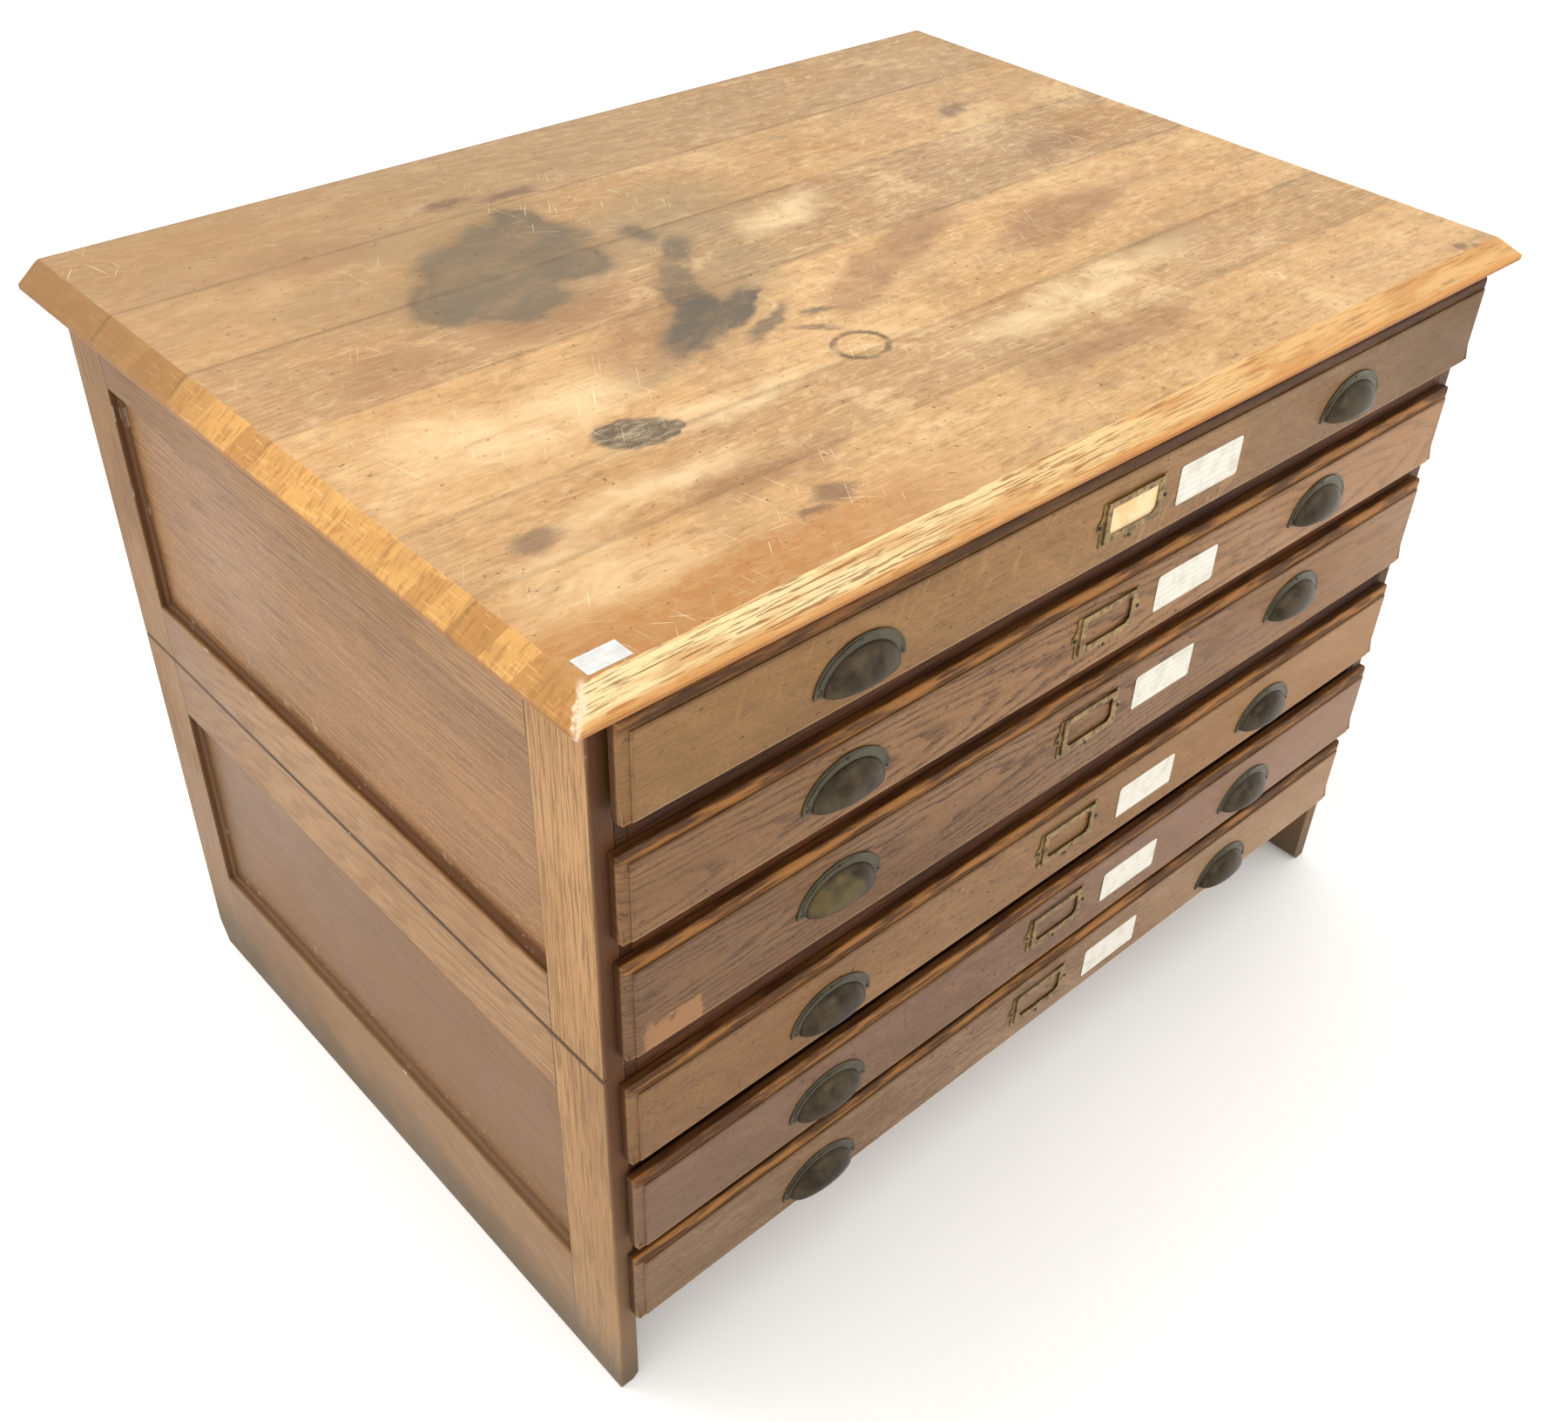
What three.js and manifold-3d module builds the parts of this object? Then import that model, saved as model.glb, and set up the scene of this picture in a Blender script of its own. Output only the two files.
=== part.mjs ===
// Flat file cabinet of aged oak: two stacked drawer units under a separate bevelled top.
// Millimetres, +Z up, front towards -Y, origin on the floor under the middle of the bounding box.
import * as THREE from 'three';
import { mergeVertices } from 'three/addons/utils/BufferGeometryUtils.js';
import { ConvexGeometry } from 'three/addons/geometries/ConvexGeometry.js';
import Module from 'manifold-3d';

// Clearance left between pieces that touch.
const FIT_GAP = 0.3;

// Carcass, centred on the plan before the whole object is shifted.
const CARCASS_WIDTH = 1183;
const CARCASS_DEPTH = 815;
const HALF_WIDTH = CARCASS_WIDTH / 2;
const FRONT_Y = -CARCASS_DEPTH / 2;
const REAR_Y = CARCASS_DEPTH / 2;

// Heights of the two units.
const LOWER_UNIT_TOP = 473.3;
const UPPER_UNIT_BASE = 473.9;
const UPPER_UNIT_TOP = 865.7;

// Framed sides.
const FRAME_THICKNESS = 22;
const STILE_FRONT_WIDTH = 71;
const STILE_REAR_WIDTH = 66;
const UPPER_PANEL_OPENING = { low: 542, high: 795 };
const LOWER_PANEL_OPENING = { low: 147.5, high: 399 };
const PANEL_RECESS = 11;
const PANEL_THICKNESS = 9;
const FOOT_REAR_CHAMFER = { along: 14, up: 30 };
const FOOT_INNER_CHAMFER = 8;

// Top board, with a wide bevel on the left, front and right.
const TOP_UNDERSIDE = 866;
const TOP_SURFACE = 892;
const TOP_EDGE_HEIGHT = 873;
const TOP_OVERHANG_SIDE = 25;
const TOP_OVERHANG_FRONT = 27.4;
const TOP_OVERHANG_REAR = 28.7;
const TOP_BEVEL = 24;
const TOP_EDGE_ROUND = 2.5;

// Drawers, numbered from the top: faces, how far two of them stand ajar, how far below the middle of the
// face the pulls' tips lie, and how far above it the card frame is centred.
const DRAWERS = [
  { low: 762, high: 855, ajar: 6, pullDrop: 23, cardRise: -3 },
  { low: 635, high: 725, ajar: 0, pullDrop: 17, cardRise: 1.5 },
  { low: 500, high: 608, ajar: 0, pullDrop: 11, cardRise: 8 },
  { low: 363, high: 461, ajar: 0, pullDrop: 22, cardRise: 2.5 },
  { low: 242, high: 340, ajar: 4, pullDrop: 22, cardRise: 4.5 },
  { low: 124, high: 217, ajar: 0, pullDrop: 29, cardRise: 1 },
];
const DRAWERS_PER_UNIT = 3;
const FRONT_HALF_WIDTH = 576.5;
const FRONT_BACK_GAP = 0.5;
const FRONT_EDGE_PROUD = 9;
const FRONT_FACE_PROUD = 15;
const FRONT_CHAMFER = 9;
const FRONT_LOWER_CHAMFER = 1.5;
const TONGUE_DEPTH = 9;
const LIP_OVERLAP = 5.5;

// Drawer boxes.
const GUIDE_THICKNESS = 12;
const GUIDE_INNER_X = HALF_WIDTH - FRAME_THICKNESS - GUIDE_THICKNESS;
const BOX_SIDE_CLEARANCE = 2;
const BOX_HALF_WIDTH = GUIDE_INNER_X - BOX_SIDE_CLEARANCE;
const BOX_TOP_CLEARANCE = 4;
const BOX_WALL = 11;
const BOX_REAR_Y = 380;
const BOX_REAR_DROP = 6;
const GROOVE_LOW = 6;
const GROOVE_HIGH = 12.6;
const GROOVE_DEPTH = 5;
const BOTTOM_THICKNESS = 6;
const WALL_OVERLAP = 1;

// Front rails, and the runners behind them.
const RAIL_DEPTH = 57;
const LOWER_UNIT_RAIL_BASE = 107;
const RUNNER_WIDTH = 40;
const BACK_THICKNESS = 12;
const BACK_INSET = 3.5;

// Cup pulls.
const PULL_CENTRE_X = { left: -345, right: 333 };
const PULL_HALF_WIDTH = 50;
const PULL_HEIGHT = 41;
const PULL_PROJECTION = 17.5;
const PULL_FLANGE = 7;
const PULL_FLANGE_THICKNESS = 1.8;
const PULL_WALL = 2;
const PULL_SEGMENTS = 20;

// Card frames.
const CARD_CENTRE_X = -13;
const CARD_HALF_WIDTH = 39;
const CARD_HALF_HEIGHT = 21;
const CARD_WINDOW_HALF_WIDTH = 33;
const CARD_WINDOW_LOW = -14;
const CARD_WINDOW_HIGH = 14.5;
const CARD_WINDOW_CORNER = 5;
const CARD_WINDOW_UPPER_CORNER = 1.5;
const CARD_SHEET = 1;
const CARD_DEPTH = 3;
const CARD_FLANGE_SIDE = 4.5;
const CARD_FLANGE_BOTTOM = 3;
// The ears' outlines: steps out from the side flange with heights, and places along the lower flange
// with heights.
const CARD_SIDE_EAR = [
  [-1, 9], [0, 8], [2.5, 4], [5, 0.5], [5.5, -2], [5, -4.5], [2.5, -6.5], [0, -7], [-1, -7.5],
];
const CARD_LOWER_EAR = [[-7, 1], [-5, 0], [-3.8, -3], [-2.5, -5.5], [2.5, -5.5], [3.8, -3], [5, 0], [7, 1]];

const FRONT_REACH = FRONT_Y - FRONT_FACE_PROUD - FIT_GAP - PULL_PROJECTION - DRAWERS[0].ajar;
const REAR_REACH = REAR_Y + TOP_OVERHANG_REAR;
const MODEL_SHIFT_Y = -(FRONT_REACH + REAR_REACH) / 2;

function material(name, colour, roughness, metalness) {
  const made = new THREE.MeshStandardMaterial({ color: colour, roughness, metalness });
  made.name = name;
  return made;
}

const OAK_TOP = material('oak_top', 0xa5793f, 0.55, 0);
const OAK_FRAME = material('oak_frame', 0x94683c, 0.6, 0);
const OAK_PANEL = material('oak_panel', 0x7c4f2b, 0.55, 0);
const OAK_FRONT = material('oak_front', 0x8a5f38, 0.5, 0);
const OAK_RAIL = material('oak_rail', 0x6a3d20, 0.55, 0);
const INNER_WOOD = material('inner_wood', 0xb08a5c, 0.75, 0);
const BRONZE = material('bronze', 0x4b463b, 0.45, 0.8);
const BRASS = material('brass', 0x8f7540, 0.4, 0.85);

const wasm = await Module();
wasm.setup();

function toManifold(geometry) {
  const bare = geometry.clone();
  bare.deleteAttribute('normal');
  bare.deleteAttribute('uv');
  const welded = mergeVertices(bare, 1e-4);
  return new wasm.Manifold(new wasm.Mesh({
    numProp: 3,
    vertProperties: new Float32Array(welded.attributes.position.array),
    triVerts: new Uint32Array(welded.index.array),
  }));
}

function fromManifold(solid) {
  const mesh = solid.getMesh();
  const geometry = new THREE.BufferGeometry();
  geometry.setAttribute('position', new THREE.BufferAttribute(new Float32Array(mesh.vertProperties), 3));
  geometry.setIndex(new THREE.BufferAttribute(new Uint32Array(mesh.triVerts), 1));
  return geometry;
}

function join(geometries) {
  return fromManifold(wasm.Manifold.union(geometries.map(toManifold)));
}

function cut(geometry, tool) {
  return fromManifold(toManifold(geometry).subtract(toManifold(tool)));
}

function block(x0, x1, y0, y1, z0, z1) {
  const geometry = new THREE.BoxGeometry(x1 - x0, y1 - y0, z1 - z0);
  geometry.translate((x0 + x1) / 2, (y0 + y1) / 2, (z0 + z1) / 2);
  return geometry;
}

// A rectangle in plan, as the four corners of one layer of a convex board.
function layer(x0, x1, y0, y1, z) {
  return [
    new THREE.Vector3(x0, y0, z),
    new THREE.Vector3(x1, y0, z),
    new THREE.Vector3(x1, y1, z),
    new THREE.Vector3(x0, y1, z),
  ];
}

// Extrudes a shape drawn in (y, z) along +X from x0.
function extrudeAlongX(shape, x0, thickness) {
  const geometry = new THREE.ExtrudeGeometry(shape, { depth: thickness, bevelEnabled: false });
  const basis = new THREE.Matrix4().makeBasis(
    new THREE.Vector3(0, 1, 0),
    new THREE.Vector3(0, 0, 1),
    new THREE.Vector3(1, 0, 0),
  );
  geometry.applyMatrix4(basis);
  geometry.translate(x0, 0, 0);
  return geometry;
}

// Extrudes a shape drawn in (x, z) along -Y from y0.
function extrudeForward(shape, y0, thickness, curveSegments) {
  const options = { depth: thickness, bevelEnabled: false, curveSegments };
  const geometry = new THREE.ExtrudeGeometry(shape, options);
  const basis = new THREE.Matrix4().makeBasis(
    new THREE.Vector3(1, 0, 0),
    new THREE.Vector3(0, 0, 1),
    new THREE.Vector3(0, -1, 0),
  );
  geometry.applyMatrix4(basis);
  geometry.translate(0, y0, 0);
  return geometry;
}

function outline(points) {
  return new THREE.Shape(points.map(([a, b]) => new THREE.Vector2(a, b)));
}

function rectangle(a0, a1, b0, b1) {
  return [[a0, b0], [a1, b0], [a1, b1], [a0, b1]];
}

const cabinet = new THREE.Group();
cabinet.name = 'flat_file_cabinet';

function add(name, geometry, surface, offset = [0, 0, 0]) {
  const placed = geometry.index ? geometry.toNonIndexed() : geometry;
  placed.deleteAttribute('normal');
  placed.deleteAttribute('uv');
  placed.translate(offset[0], offset[1] + MODEL_SHIFT_Y, offset[2]);
  placed.computeVertexNormals();
  const mesh = new THREE.Mesh(placed, surface);
  mesh.name = name;
  cabinet.add(mesh);
}

// Mirrors a geometry built for the left side across x = 0.
function toSide(geometry, side) {
  if (side < 0) {
    return geometry;
  }
  const mirrored = geometry.index ? geometry.toNonIndexed() : geometry.clone();
  const position = mirrored.attributes.position;
  for (let corner = 0; corner < position.count; corner += 3) {
    const first = new THREE.Vector3().fromBufferAttribute(position, corner);
    const last = new THREE.Vector3().fromBufferAttribute(position, corner + 2);
    position.setXYZ(corner, last.x, last.y, last.z);
    position.setXYZ(corner + 2, first.x, first.y, first.z);
  }
  mirrored.scale(-1, 1, 1);
  return mirrored;
}

// --- Top board -------------------------------------------------------------
const topLeft = -HALF_WIDTH - TOP_OVERHANG_SIDE;
const topFront = FRONT_Y - TOP_OVERHANG_FRONT;
const topRear = REAR_Y + TOP_OVERHANG_REAR;
const topLayers = [
  ...layer(
    topLeft + TOP_EDGE_ROUND, -topLeft - TOP_EDGE_ROUND, topFront + TOP_EDGE_ROUND, topRear, TOP_UNDERSIDE,
  ),
  ...layer(topLeft, -topLeft, topFront, topRear, TOP_UNDERSIDE + TOP_EDGE_ROUND),
  ...layer(topLeft, -topLeft, topFront, topRear, TOP_EDGE_HEIGHT),
  ...layer(topLeft + TOP_BEVEL, -topLeft - TOP_BEVEL, topFront + TOP_BEVEL, topRear, TOP_SURFACE),
];
add('top_board', new ConvexGeometry(topLayers), OAK_TOP);

// --- Framed sides ----------------------------------------------------------
function sideFrame(low, high, opening) {
  const isLower = low === 0;
  const outer = isLower
    ? [
      [FRONT_Y, low], [REAR_Y - FOOT_REAR_CHAMFER.along, low],
      [REAR_Y, low + FOOT_REAR_CHAMFER.up], [REAR_Y, high], [FRONT_Y, high],
    ]
    : rectangle(FRONT_Y, REAR_Y, low, high);
  const shape = outline(outer);
  const hole = rectangle(FRONT_Y + STILE_FRONT_WIDTH, REAR_Y - STILE_REAR_WIDTH, opening.low, opening.high);
  shape.holes.push(outline(hole));
  const frame = extrudeAlongX(shape, -HALF_WIDTH, FRAME_THICKNESS);
  if (!isLower) {
    return frame;
  }
  const inner = -HALF_WIDTH + FRAME_THICKNESS;
  const wedge = new ConvexGeometry([FRONT_Y - 1, REAR_Y + 1].flatMap((y) => [
    new THREE.Vector3(inner - FOOT_INNER_CHAMFER, y, -1),
    new THREE.Vector3(inner + 1, y, -1),
    new THREE.Vector3(inner + 1, y, FOOT_INNER_CHAMFER),
  ]));
  return cut(frame, wedge);
}

function sidePanel(opening) {
  return block(
    -HALF_WIDTH + PANEL_RECESS, -HALF_WIDTH + PANEL_RECESS + PANEL_THICKNESS,
    FRONT_Y + STILE_FRONT_WIDTH + FIT_GAP, REAR_Y - STILE_REAR_WIDTH - FIT_GAP,
    opening.low + FIT_GAP, opening.high - FIT_GAP,
  );
}

// --- Rails, runners and backs ----------------------------------------------
// Each unit's rails, from the top down: one above, between and below its drawers.
function railHeights(base, top, drawers) {
  const rails = [{ low: drawers[0].high - LIP_OVERLAP, high: top }];
  for (let index = 1; index < drawers.length; index += 1) {
    rails.push({
      low: drawers[index].high - LIP_OVERLAP,
      high: drawers[index - 1].low + LIP_OVERLAP,
    });
  }
  rails.push({ low: base, high: drawers[drawers.length - 1].low + LIP_OVERLAP });
  return rails;
}

function runners(base, top, rails) {
  const guideOuter = -HALF_WIDTH + FRAME_THICKNESS + FIT_GAP;
  const rearEnd = REAR_Y - BACK_INSET - BACK_THICKNESS - FIT_GAP;
  const pieces = [block(guideOuter, -GUIDE_INNER_X, FRONT_Y, rearEnd, base, top)];
  for (const rail of rails) {
    pieces.push(block(
      -GUIDE_INNER_X - WALL_OVERLAP, -GUIDE_INNER_X + RUNNER_WIDTH,
      FRONT_Y + RAIL_DEPTH + FIT_GAP, rearEnd, rail.low, rail.high,
    ));
  }
  return join(pieces);
}

const UNITS = [
  {
    name: 'upper',
    frameLow: UPPER_UNIT_BASE,
    low: UPPER_UNIT_BASE,
    high: UPPER_UNIT_TOP,
    opening: UPPER_PANEL_OPENING,
    drawers: DRAWERS.slice(0, DRAWERS_PER_UNIT),
  },
  {
    name: 'lower',
    frameLow: 0,
    low: LOWER_UNIT_RAIL_BASE,
    high: LOWER_UNIT_TOP,
    opening: LOWER_PANEL_OPENING,
    drawers: DRAWERS.slice(DRAWERS_PER_UNIT),
  },
];
const SIDES = [['left', -1], ['right', 1]];
const RAIL_NAMES = ['rail_top', 'rail_a', 'rail_b', 'rail_bottom'];

for (const unit of UNITS) {
  unit.rails = railHeights(unit.low, unit.high, unit.drawers);
  for (const [sideName, side] of SIDES) {
    const frame = sideFrame(unit.frameLow, unit.high, unit.opening);
    add(`${unit.name}_${sideName}_frame`, toSide(frame, side), OAK_FRAME);
    add(`${unit.name}_${sideName}_panel`, toSide(sidePanel(unit.opening), side), OAK_PANEL);
    const guide = runners(unit.low, unit.high, unit.rails);
    add(`${unit.name}_${sideName}_runners`, toSide(guide, side), OAK_RAIL);
  }
  unit.rails.forEach((rail, index) => {
    const railEnd = GUIDE_INNER_X - FIT_GAP;
    const geometry = block(-railEnd, railEnd, FRONT_Y, FRONT_Y + RAIL_DEPTH, rail.low, rail.high);
    add(`${unit.name}_${RAIL_NAMES[index]}`, geometry, OAK_RAIL);
  });
  const backEnd = HALF_WIDTH - FRAME_THICKNESS - FIT_GAP;
  const backRear = REAR_Y - BACK_INSET;
  const back = block(-backEnd, backEnd, backRear - BACK_THICKNESS, backRear, unit.low, unit.high);
  add(`${unit.name}_back`, back, OAK_PANEL);
}

// --- Drawers ---------------------------------------------------------------
// A lipped front: a moulded board that overlaps its opening, with a tongue that enters it.
function drawerFront(drawer, boxLow, boxHigh) {
  const back = FRONT_Y - FRONT_BACK_GAP;
  const edge = FRONT_Y - FRONT_EDGE_PROUD;
  const face = FRONT_Y - FRONT_FACE_PROUD;
  const corners = [];
  for (const x of [-FRONT_HALF_WIDTH, FRONT_HALF_WIDTH]) {
    for (const z of [drawer.low, drawer.high]) {
      corners.push(new THREE.Vector3(x, back, z), new THREE.Vector3(x, edge, z));
      const faceX = x - Math.sign(x) * FRONT_CHAMFER;
      const faceZ = z === drawer.low ? z + FRONT_LOWER_CHAMFER : z - FRONT_CHAMFER;
      corners.push(new THREE.Vector3(faceX, face, faceZ));
    }
  }
  const tongue = block(
    -BOX_HALF_WIDTH, BOX_HALF_WIDTH, back - WALL_OVERLAP, FRONT_Y + TONGUE_DEPTH, boxLow, boxHigh,
  );
  return join([new ConvexGeometry(corners), tongue]);
}

// Two grooved sides joined to the back board, open to the front and below the back.
function drawerBox(boxLow, boxHigh) {
  const front = FRONT_Y + TONGUE_DEPTH + FIT_GAP;
  const inner = -BOX_HALF_WIDTH + BOX_WALL;
  const left = block(-BOX_HALF_WIDTH, inner, front, BOX_REAR_Y, boxLow, boxHigh);
  const groove = block(
    inner - GROOVE_DEPTH, inner + 1, front - 1, BOX_REAR_Y + 1, boxLow + GROOVE_LOW, boxLow + GROOVE_HIGH,
  );
  const leftSide = cut(left, groove);
  const rear = block(
    inner - WALL_OVERLAP, -inner + WALL_OVERLAP,
    BOX_REAR_Y - BOX_WALL, BOX_REAR_Y,
    boxLow + GROOVE_HIGH, boxHigh - BOX_REAR_DROP,
  );
  return join([leftSide, toSide(leftSide, 1), rear]);
}

function drawerBottom(boxLow) {
  const reach = BOX_HALF_WIDTH - BOX_WALL + GROOVE_DEPTH - FIT_GAP;
  const low = boxLow + GROOVE_LOW + FIT_GAP;
  return block(
    -reach, reach,
    FRONT_Y + TONGUE_DEPTH + FIT_GAP, BOX_REAR_Y,
    low, low + BOTTOM_THICKNESS,
  );
}

function ellipsoid(halfWidth, projection, height) {
  const ball = new THREE.SphereGeometry(1, PULL_SEGMENTS, PULL_SEGMENTS / 2);
  ball.scale(halfWidth, projection, height);
  return ball;
}

// A domed cup, open below, with a flat flange round its upper edge. Its tips lie at z = 0.
function cupPull() {
  const domeHalfWidth = PULL_HALF_WIDTH - PULL_FLANGE;
  const domeHeight = PULL_HEIGHT - PULL_FLANGE;
  const flangeShape = new THREE.Shape();
  flangeShape.moveTo(PULL_HALF_WIDTH, 0);
  flangeShape.absellipse(0, 0, PULL_HALF_WIDTH, PULL_HEIGHT, 0, Math.PI, false, 0);
  flangeShape.closePath();
  const flange = extrudeForward(flangeShape, 0, PULL_FLANGE_THICKNESS, PULL_SEGMENTS);
  const quarter = block(
    -PULL_HALF_WIDTH, PULL_HALF_WIDTH, -PULL_PROJECTION - 1, 0, 0, PULL_HEIGHT + 1,
  );
  const dome = toManifold(ellipsoid(domeHalfWidth, PULL_PROJECTION, domeHeight));
  const shell = dome.intersect(toManifold(quarter)).add(toManifold(flange));
  const hollow = ellipsoid(domeHalfWidth - PULL_WALL, PULL_PROJECTION - PULL_WALL, domeHeight - PULL_WALL);
  return fromManifold(shell.subtract(toManifold(hollow)));
}

// A windowed face held off a flat flange by three walls. It is open at the top for a card,
// and its three ears take the pins.
function cardFrame() {
  const w = CARD_HALF_WIDTH;
  const h = CARD_HALF_HEIGHT;
  const sheet = CARD_SHEET;
  const windowWidth = CARD_WINDOW_HALF_WIDTH;
  const corner = CARD_WINDOW_CORNER;
  const upper = CARD_WINDOW_UPPER_CORNER;
  const faceShape = outline(rectangle(-w, w, -h, h));
  faceShape.holes.push(outline([
    [-windowWidth + corner, CARD_WINDOW_LOW], [windowWidth - corner, CARD_WINDOW_LOW],
    [windowWidth, CARD_WINDOW_LOW + corner], [windowWidth, CARD_WINDOW_HIGH - upper],
    [windowWidth - upper, CARD_WINDOW_HIGH], [-windowWidth + upper, CARD_WINDOW_HIGH],
    [-windowWidth, CARD_WINDOW_HIGH - upper], [-windowWidth, CARD_WINDOW_LOW + corner],
  ]));
  const face = extrudeForward(faceShape, sheet - CARD_DEPTH, sheet, 1);
  const openBox = (side, bottom) => outline([
    [-w - side, -h - bottom], [w + side, -h - bottom], [w + side, h], [w - sheet, h],
    [w - sheet, -h + sheet], [-w + sheet, -h + sheet], [-w + sheet, h], [-w - side, h],
  ]);
  const walls = extrudeForward(openBox(0, 0), 0, CARD_DEPTH - sheet / 2, 1);
  const flange = extrudeForward(openBox(CARD_FLANGE_SIDE, CARD_FLANGE_BOTTOM), 0, sheet, 1);
  const edge = w + CARD_FLANGE_SIDE;
  const ears = [
    outline(CARD_SIDE_EAR.map(([out, up]) => [edge + out, up])),
    outline(CARD_SIDE_EAR.map(([out, up]) => [-edge - out, up])),
    outline(CARD_LOWER_EAR.map(([along, up]) => [along, up - h - CARD_FLANGE_BOTTOM])),
  ];
  return join([face, walls, flange, ...ears.map((ear) => extrudeForward(ear, 0, sheet, 1))]);
}

DRAWERS.forEach((drawer, index) => {
  const unit = UNITS[Math.floor(index / DRAWERS_PER_UNIT)];
  const above = unit.rails[index % DRAWERS_PER_UNIT];
  const below = unit.rails[(index % DRAWERS_PER_UNIT) + 1];
  const boxLow = below.high + FIT_GAP;
  const boxHigh = above.low - BOX_TOP_CLEARANCE;
  const number = index + 1;
  const ajar = [0, -drawer.ajar, 0];
  const middle = (drawer.low + drawer.high) / 2;
  const faceY = FRONT_Y - FRONT_FACE_PROUD - FIT_GAP - drawer.ajar;
  add(`drawer_${number}_front`, drawerFront(drawer, boxLow, boxHigh), OAK_FRONT, ajar);
  add(`drawer_${number}_box`, drawerBox(boxLow, boxHigh), INNER_WOOD, ajar);
  add(`drawer_${number}_bottom`, drawerBottom(boxLow), INNER_WOOD, ajar);
  for (const [sideName] of SIDES) {
    const place = [PULL_CENTRE_X[sideName], faceY, middle - drawer.pullDrop];
    add(`drawer_${number}_pull_${sideName}`, cupPull(), BRONZE, place);
  }
  add(`drawer_${number}_card_frame`, cardFrame(), BRASS, [CARD_CENTRE_X, faceY, middle + drawer.cardRise]);
});

export default cabinet;
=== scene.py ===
"""Looks of the flat file cabinet: an aged oak plan chest in two stacked units, with bronze cup pulls."""

import math
from dataclasses import dataclass
from functools import reduce

import bmesh
import bpy
from mathutils import Matrix, Vector, noise


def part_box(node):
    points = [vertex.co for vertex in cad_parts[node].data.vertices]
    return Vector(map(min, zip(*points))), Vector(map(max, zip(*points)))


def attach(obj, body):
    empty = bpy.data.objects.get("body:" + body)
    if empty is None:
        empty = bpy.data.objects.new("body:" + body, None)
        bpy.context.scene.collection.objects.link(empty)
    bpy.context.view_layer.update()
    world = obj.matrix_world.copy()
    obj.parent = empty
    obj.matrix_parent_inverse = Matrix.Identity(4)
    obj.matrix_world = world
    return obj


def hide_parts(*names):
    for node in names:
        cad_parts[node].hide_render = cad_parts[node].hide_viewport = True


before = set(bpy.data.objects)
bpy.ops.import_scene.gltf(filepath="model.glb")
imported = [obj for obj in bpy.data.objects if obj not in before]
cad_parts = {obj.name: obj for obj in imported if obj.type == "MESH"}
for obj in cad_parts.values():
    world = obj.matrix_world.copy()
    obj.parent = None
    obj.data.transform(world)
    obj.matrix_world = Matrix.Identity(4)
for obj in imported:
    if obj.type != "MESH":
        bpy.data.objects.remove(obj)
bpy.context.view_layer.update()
SCENE = bpy.context.scene
MM = 0.001
DRAWERS = range(1, 7)
SIDES = ("left", "right")
UNITS = ("upper", "lower")


# ------------ camera, floor and light

CAMERA_PLACE = (-1.0968, -1.1322, 1.576)
CAMERA_AZIMUTH, CAMERA_ELEVATION, CAMERA_ROLL = 44.548, 38.793, 2.819
CAMERA_LENS, CAMERA_SENSOR = 38.508, 36
CAMERA_SHIFT = (-0.01514, 0.00101)
WORLD_STRENGTH = 1.16
FLOOR_SIZE, FLOOR_GLOW = 30, 0.11


def make_camera():
    data = bpy.data.cameras.new("camera")
    data.lens, data.sensor_width = CAMERA_LENS, CAMERA_SENSOR
    data.shift_x, data.shift_y = CAMERA_SHIFT
    camera = bpy.data.objects.new("camera", data)
    turn = Matrix.Translation(CAMERA_PLACE)
    for angle, axis in ((-CAMERA_AZIMUTH, "Z"), (90 - CAMERA_ELEVATION, "X"), (CAMERA_ROLL, "Z")):
        turn = turn @ Matrix.Rotation(math.radians(angle), 4, axis)
    camera.matrix_world = turn
    SCENE.collection.objects.link(camera)
    SCENE.camera = camera


def area_light(name, place, target, size, power, colour=(1, 1, 1)):
    data = bpy.data.lights.new(name, "AREA")
    data.shape, data.size, data.energy, data.color = "DISK", size, power, colour
    light = bpy.data.objects.new(name, data)
    light.location = place
    light.rotation_euler = (Vector(target) - Vector(place)).to_track_quat("-Z", "Y").to_euler()
    SCENE.collection.objects.link(light)


def make_surroundings():
    SCENE.view_settings.view_transform = "Standard"
    world = bpy.data.worlds.new("studio")
    world.use_nodes = True
    background = world.node_tree.nodes["Background"]
    background.inputs["Color"].default_value = (1, 0.985, 0.96, 1)
    background.inputs["Strength"].default_value = WORLD_STRENGTH
    SCENE.world = world
    area_light("overhead", (-0.9, 0.9, 3.4), (0, 0, 0.6), 1.6, 46, (1, 0.98, 0.95))
    area_light("front_fill", (0.9, -3.2, 2.2), (0, 0, 0.5), 2.2, 14, (1, 0.97, 0.93))
    g = Graph("floor_paint")
    g.colour = g.mix(g.noise(g.place(), 3, 4), (0.96, 0.96, 0.955), (0.985, 0.985, 0.98))
    speck = g.noise(g.place(), 260, 2)
    bpy.ops.mesh.primitive_plane_add(size=FLOOR_SIZE, location=(0, 0, 0))
    floor = bpy.context.object
    floor.name = "floor"
    floor.data.materials.append(
        g.surface(g.span(speck, 0.3, 0.7, 0.5, 0.62), g.noise(g.place(), 90, 3), 0.03, glow=FLOOR_GLOW))


# ------------ node graphs

BUMP_DEPTH = 1 * MM
GLOSS, METAL_GLOSS = 0.2, 0.5


def rgb(red, green, blue):
    """A display colour, 0 to 255, as the linear values that a shader takes."""
    return tuple(((c / 255 + 0.055) / 1.055) ** 2.4 if c > 10 else c / 3294.6 for c in (red, green, blue))


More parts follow.
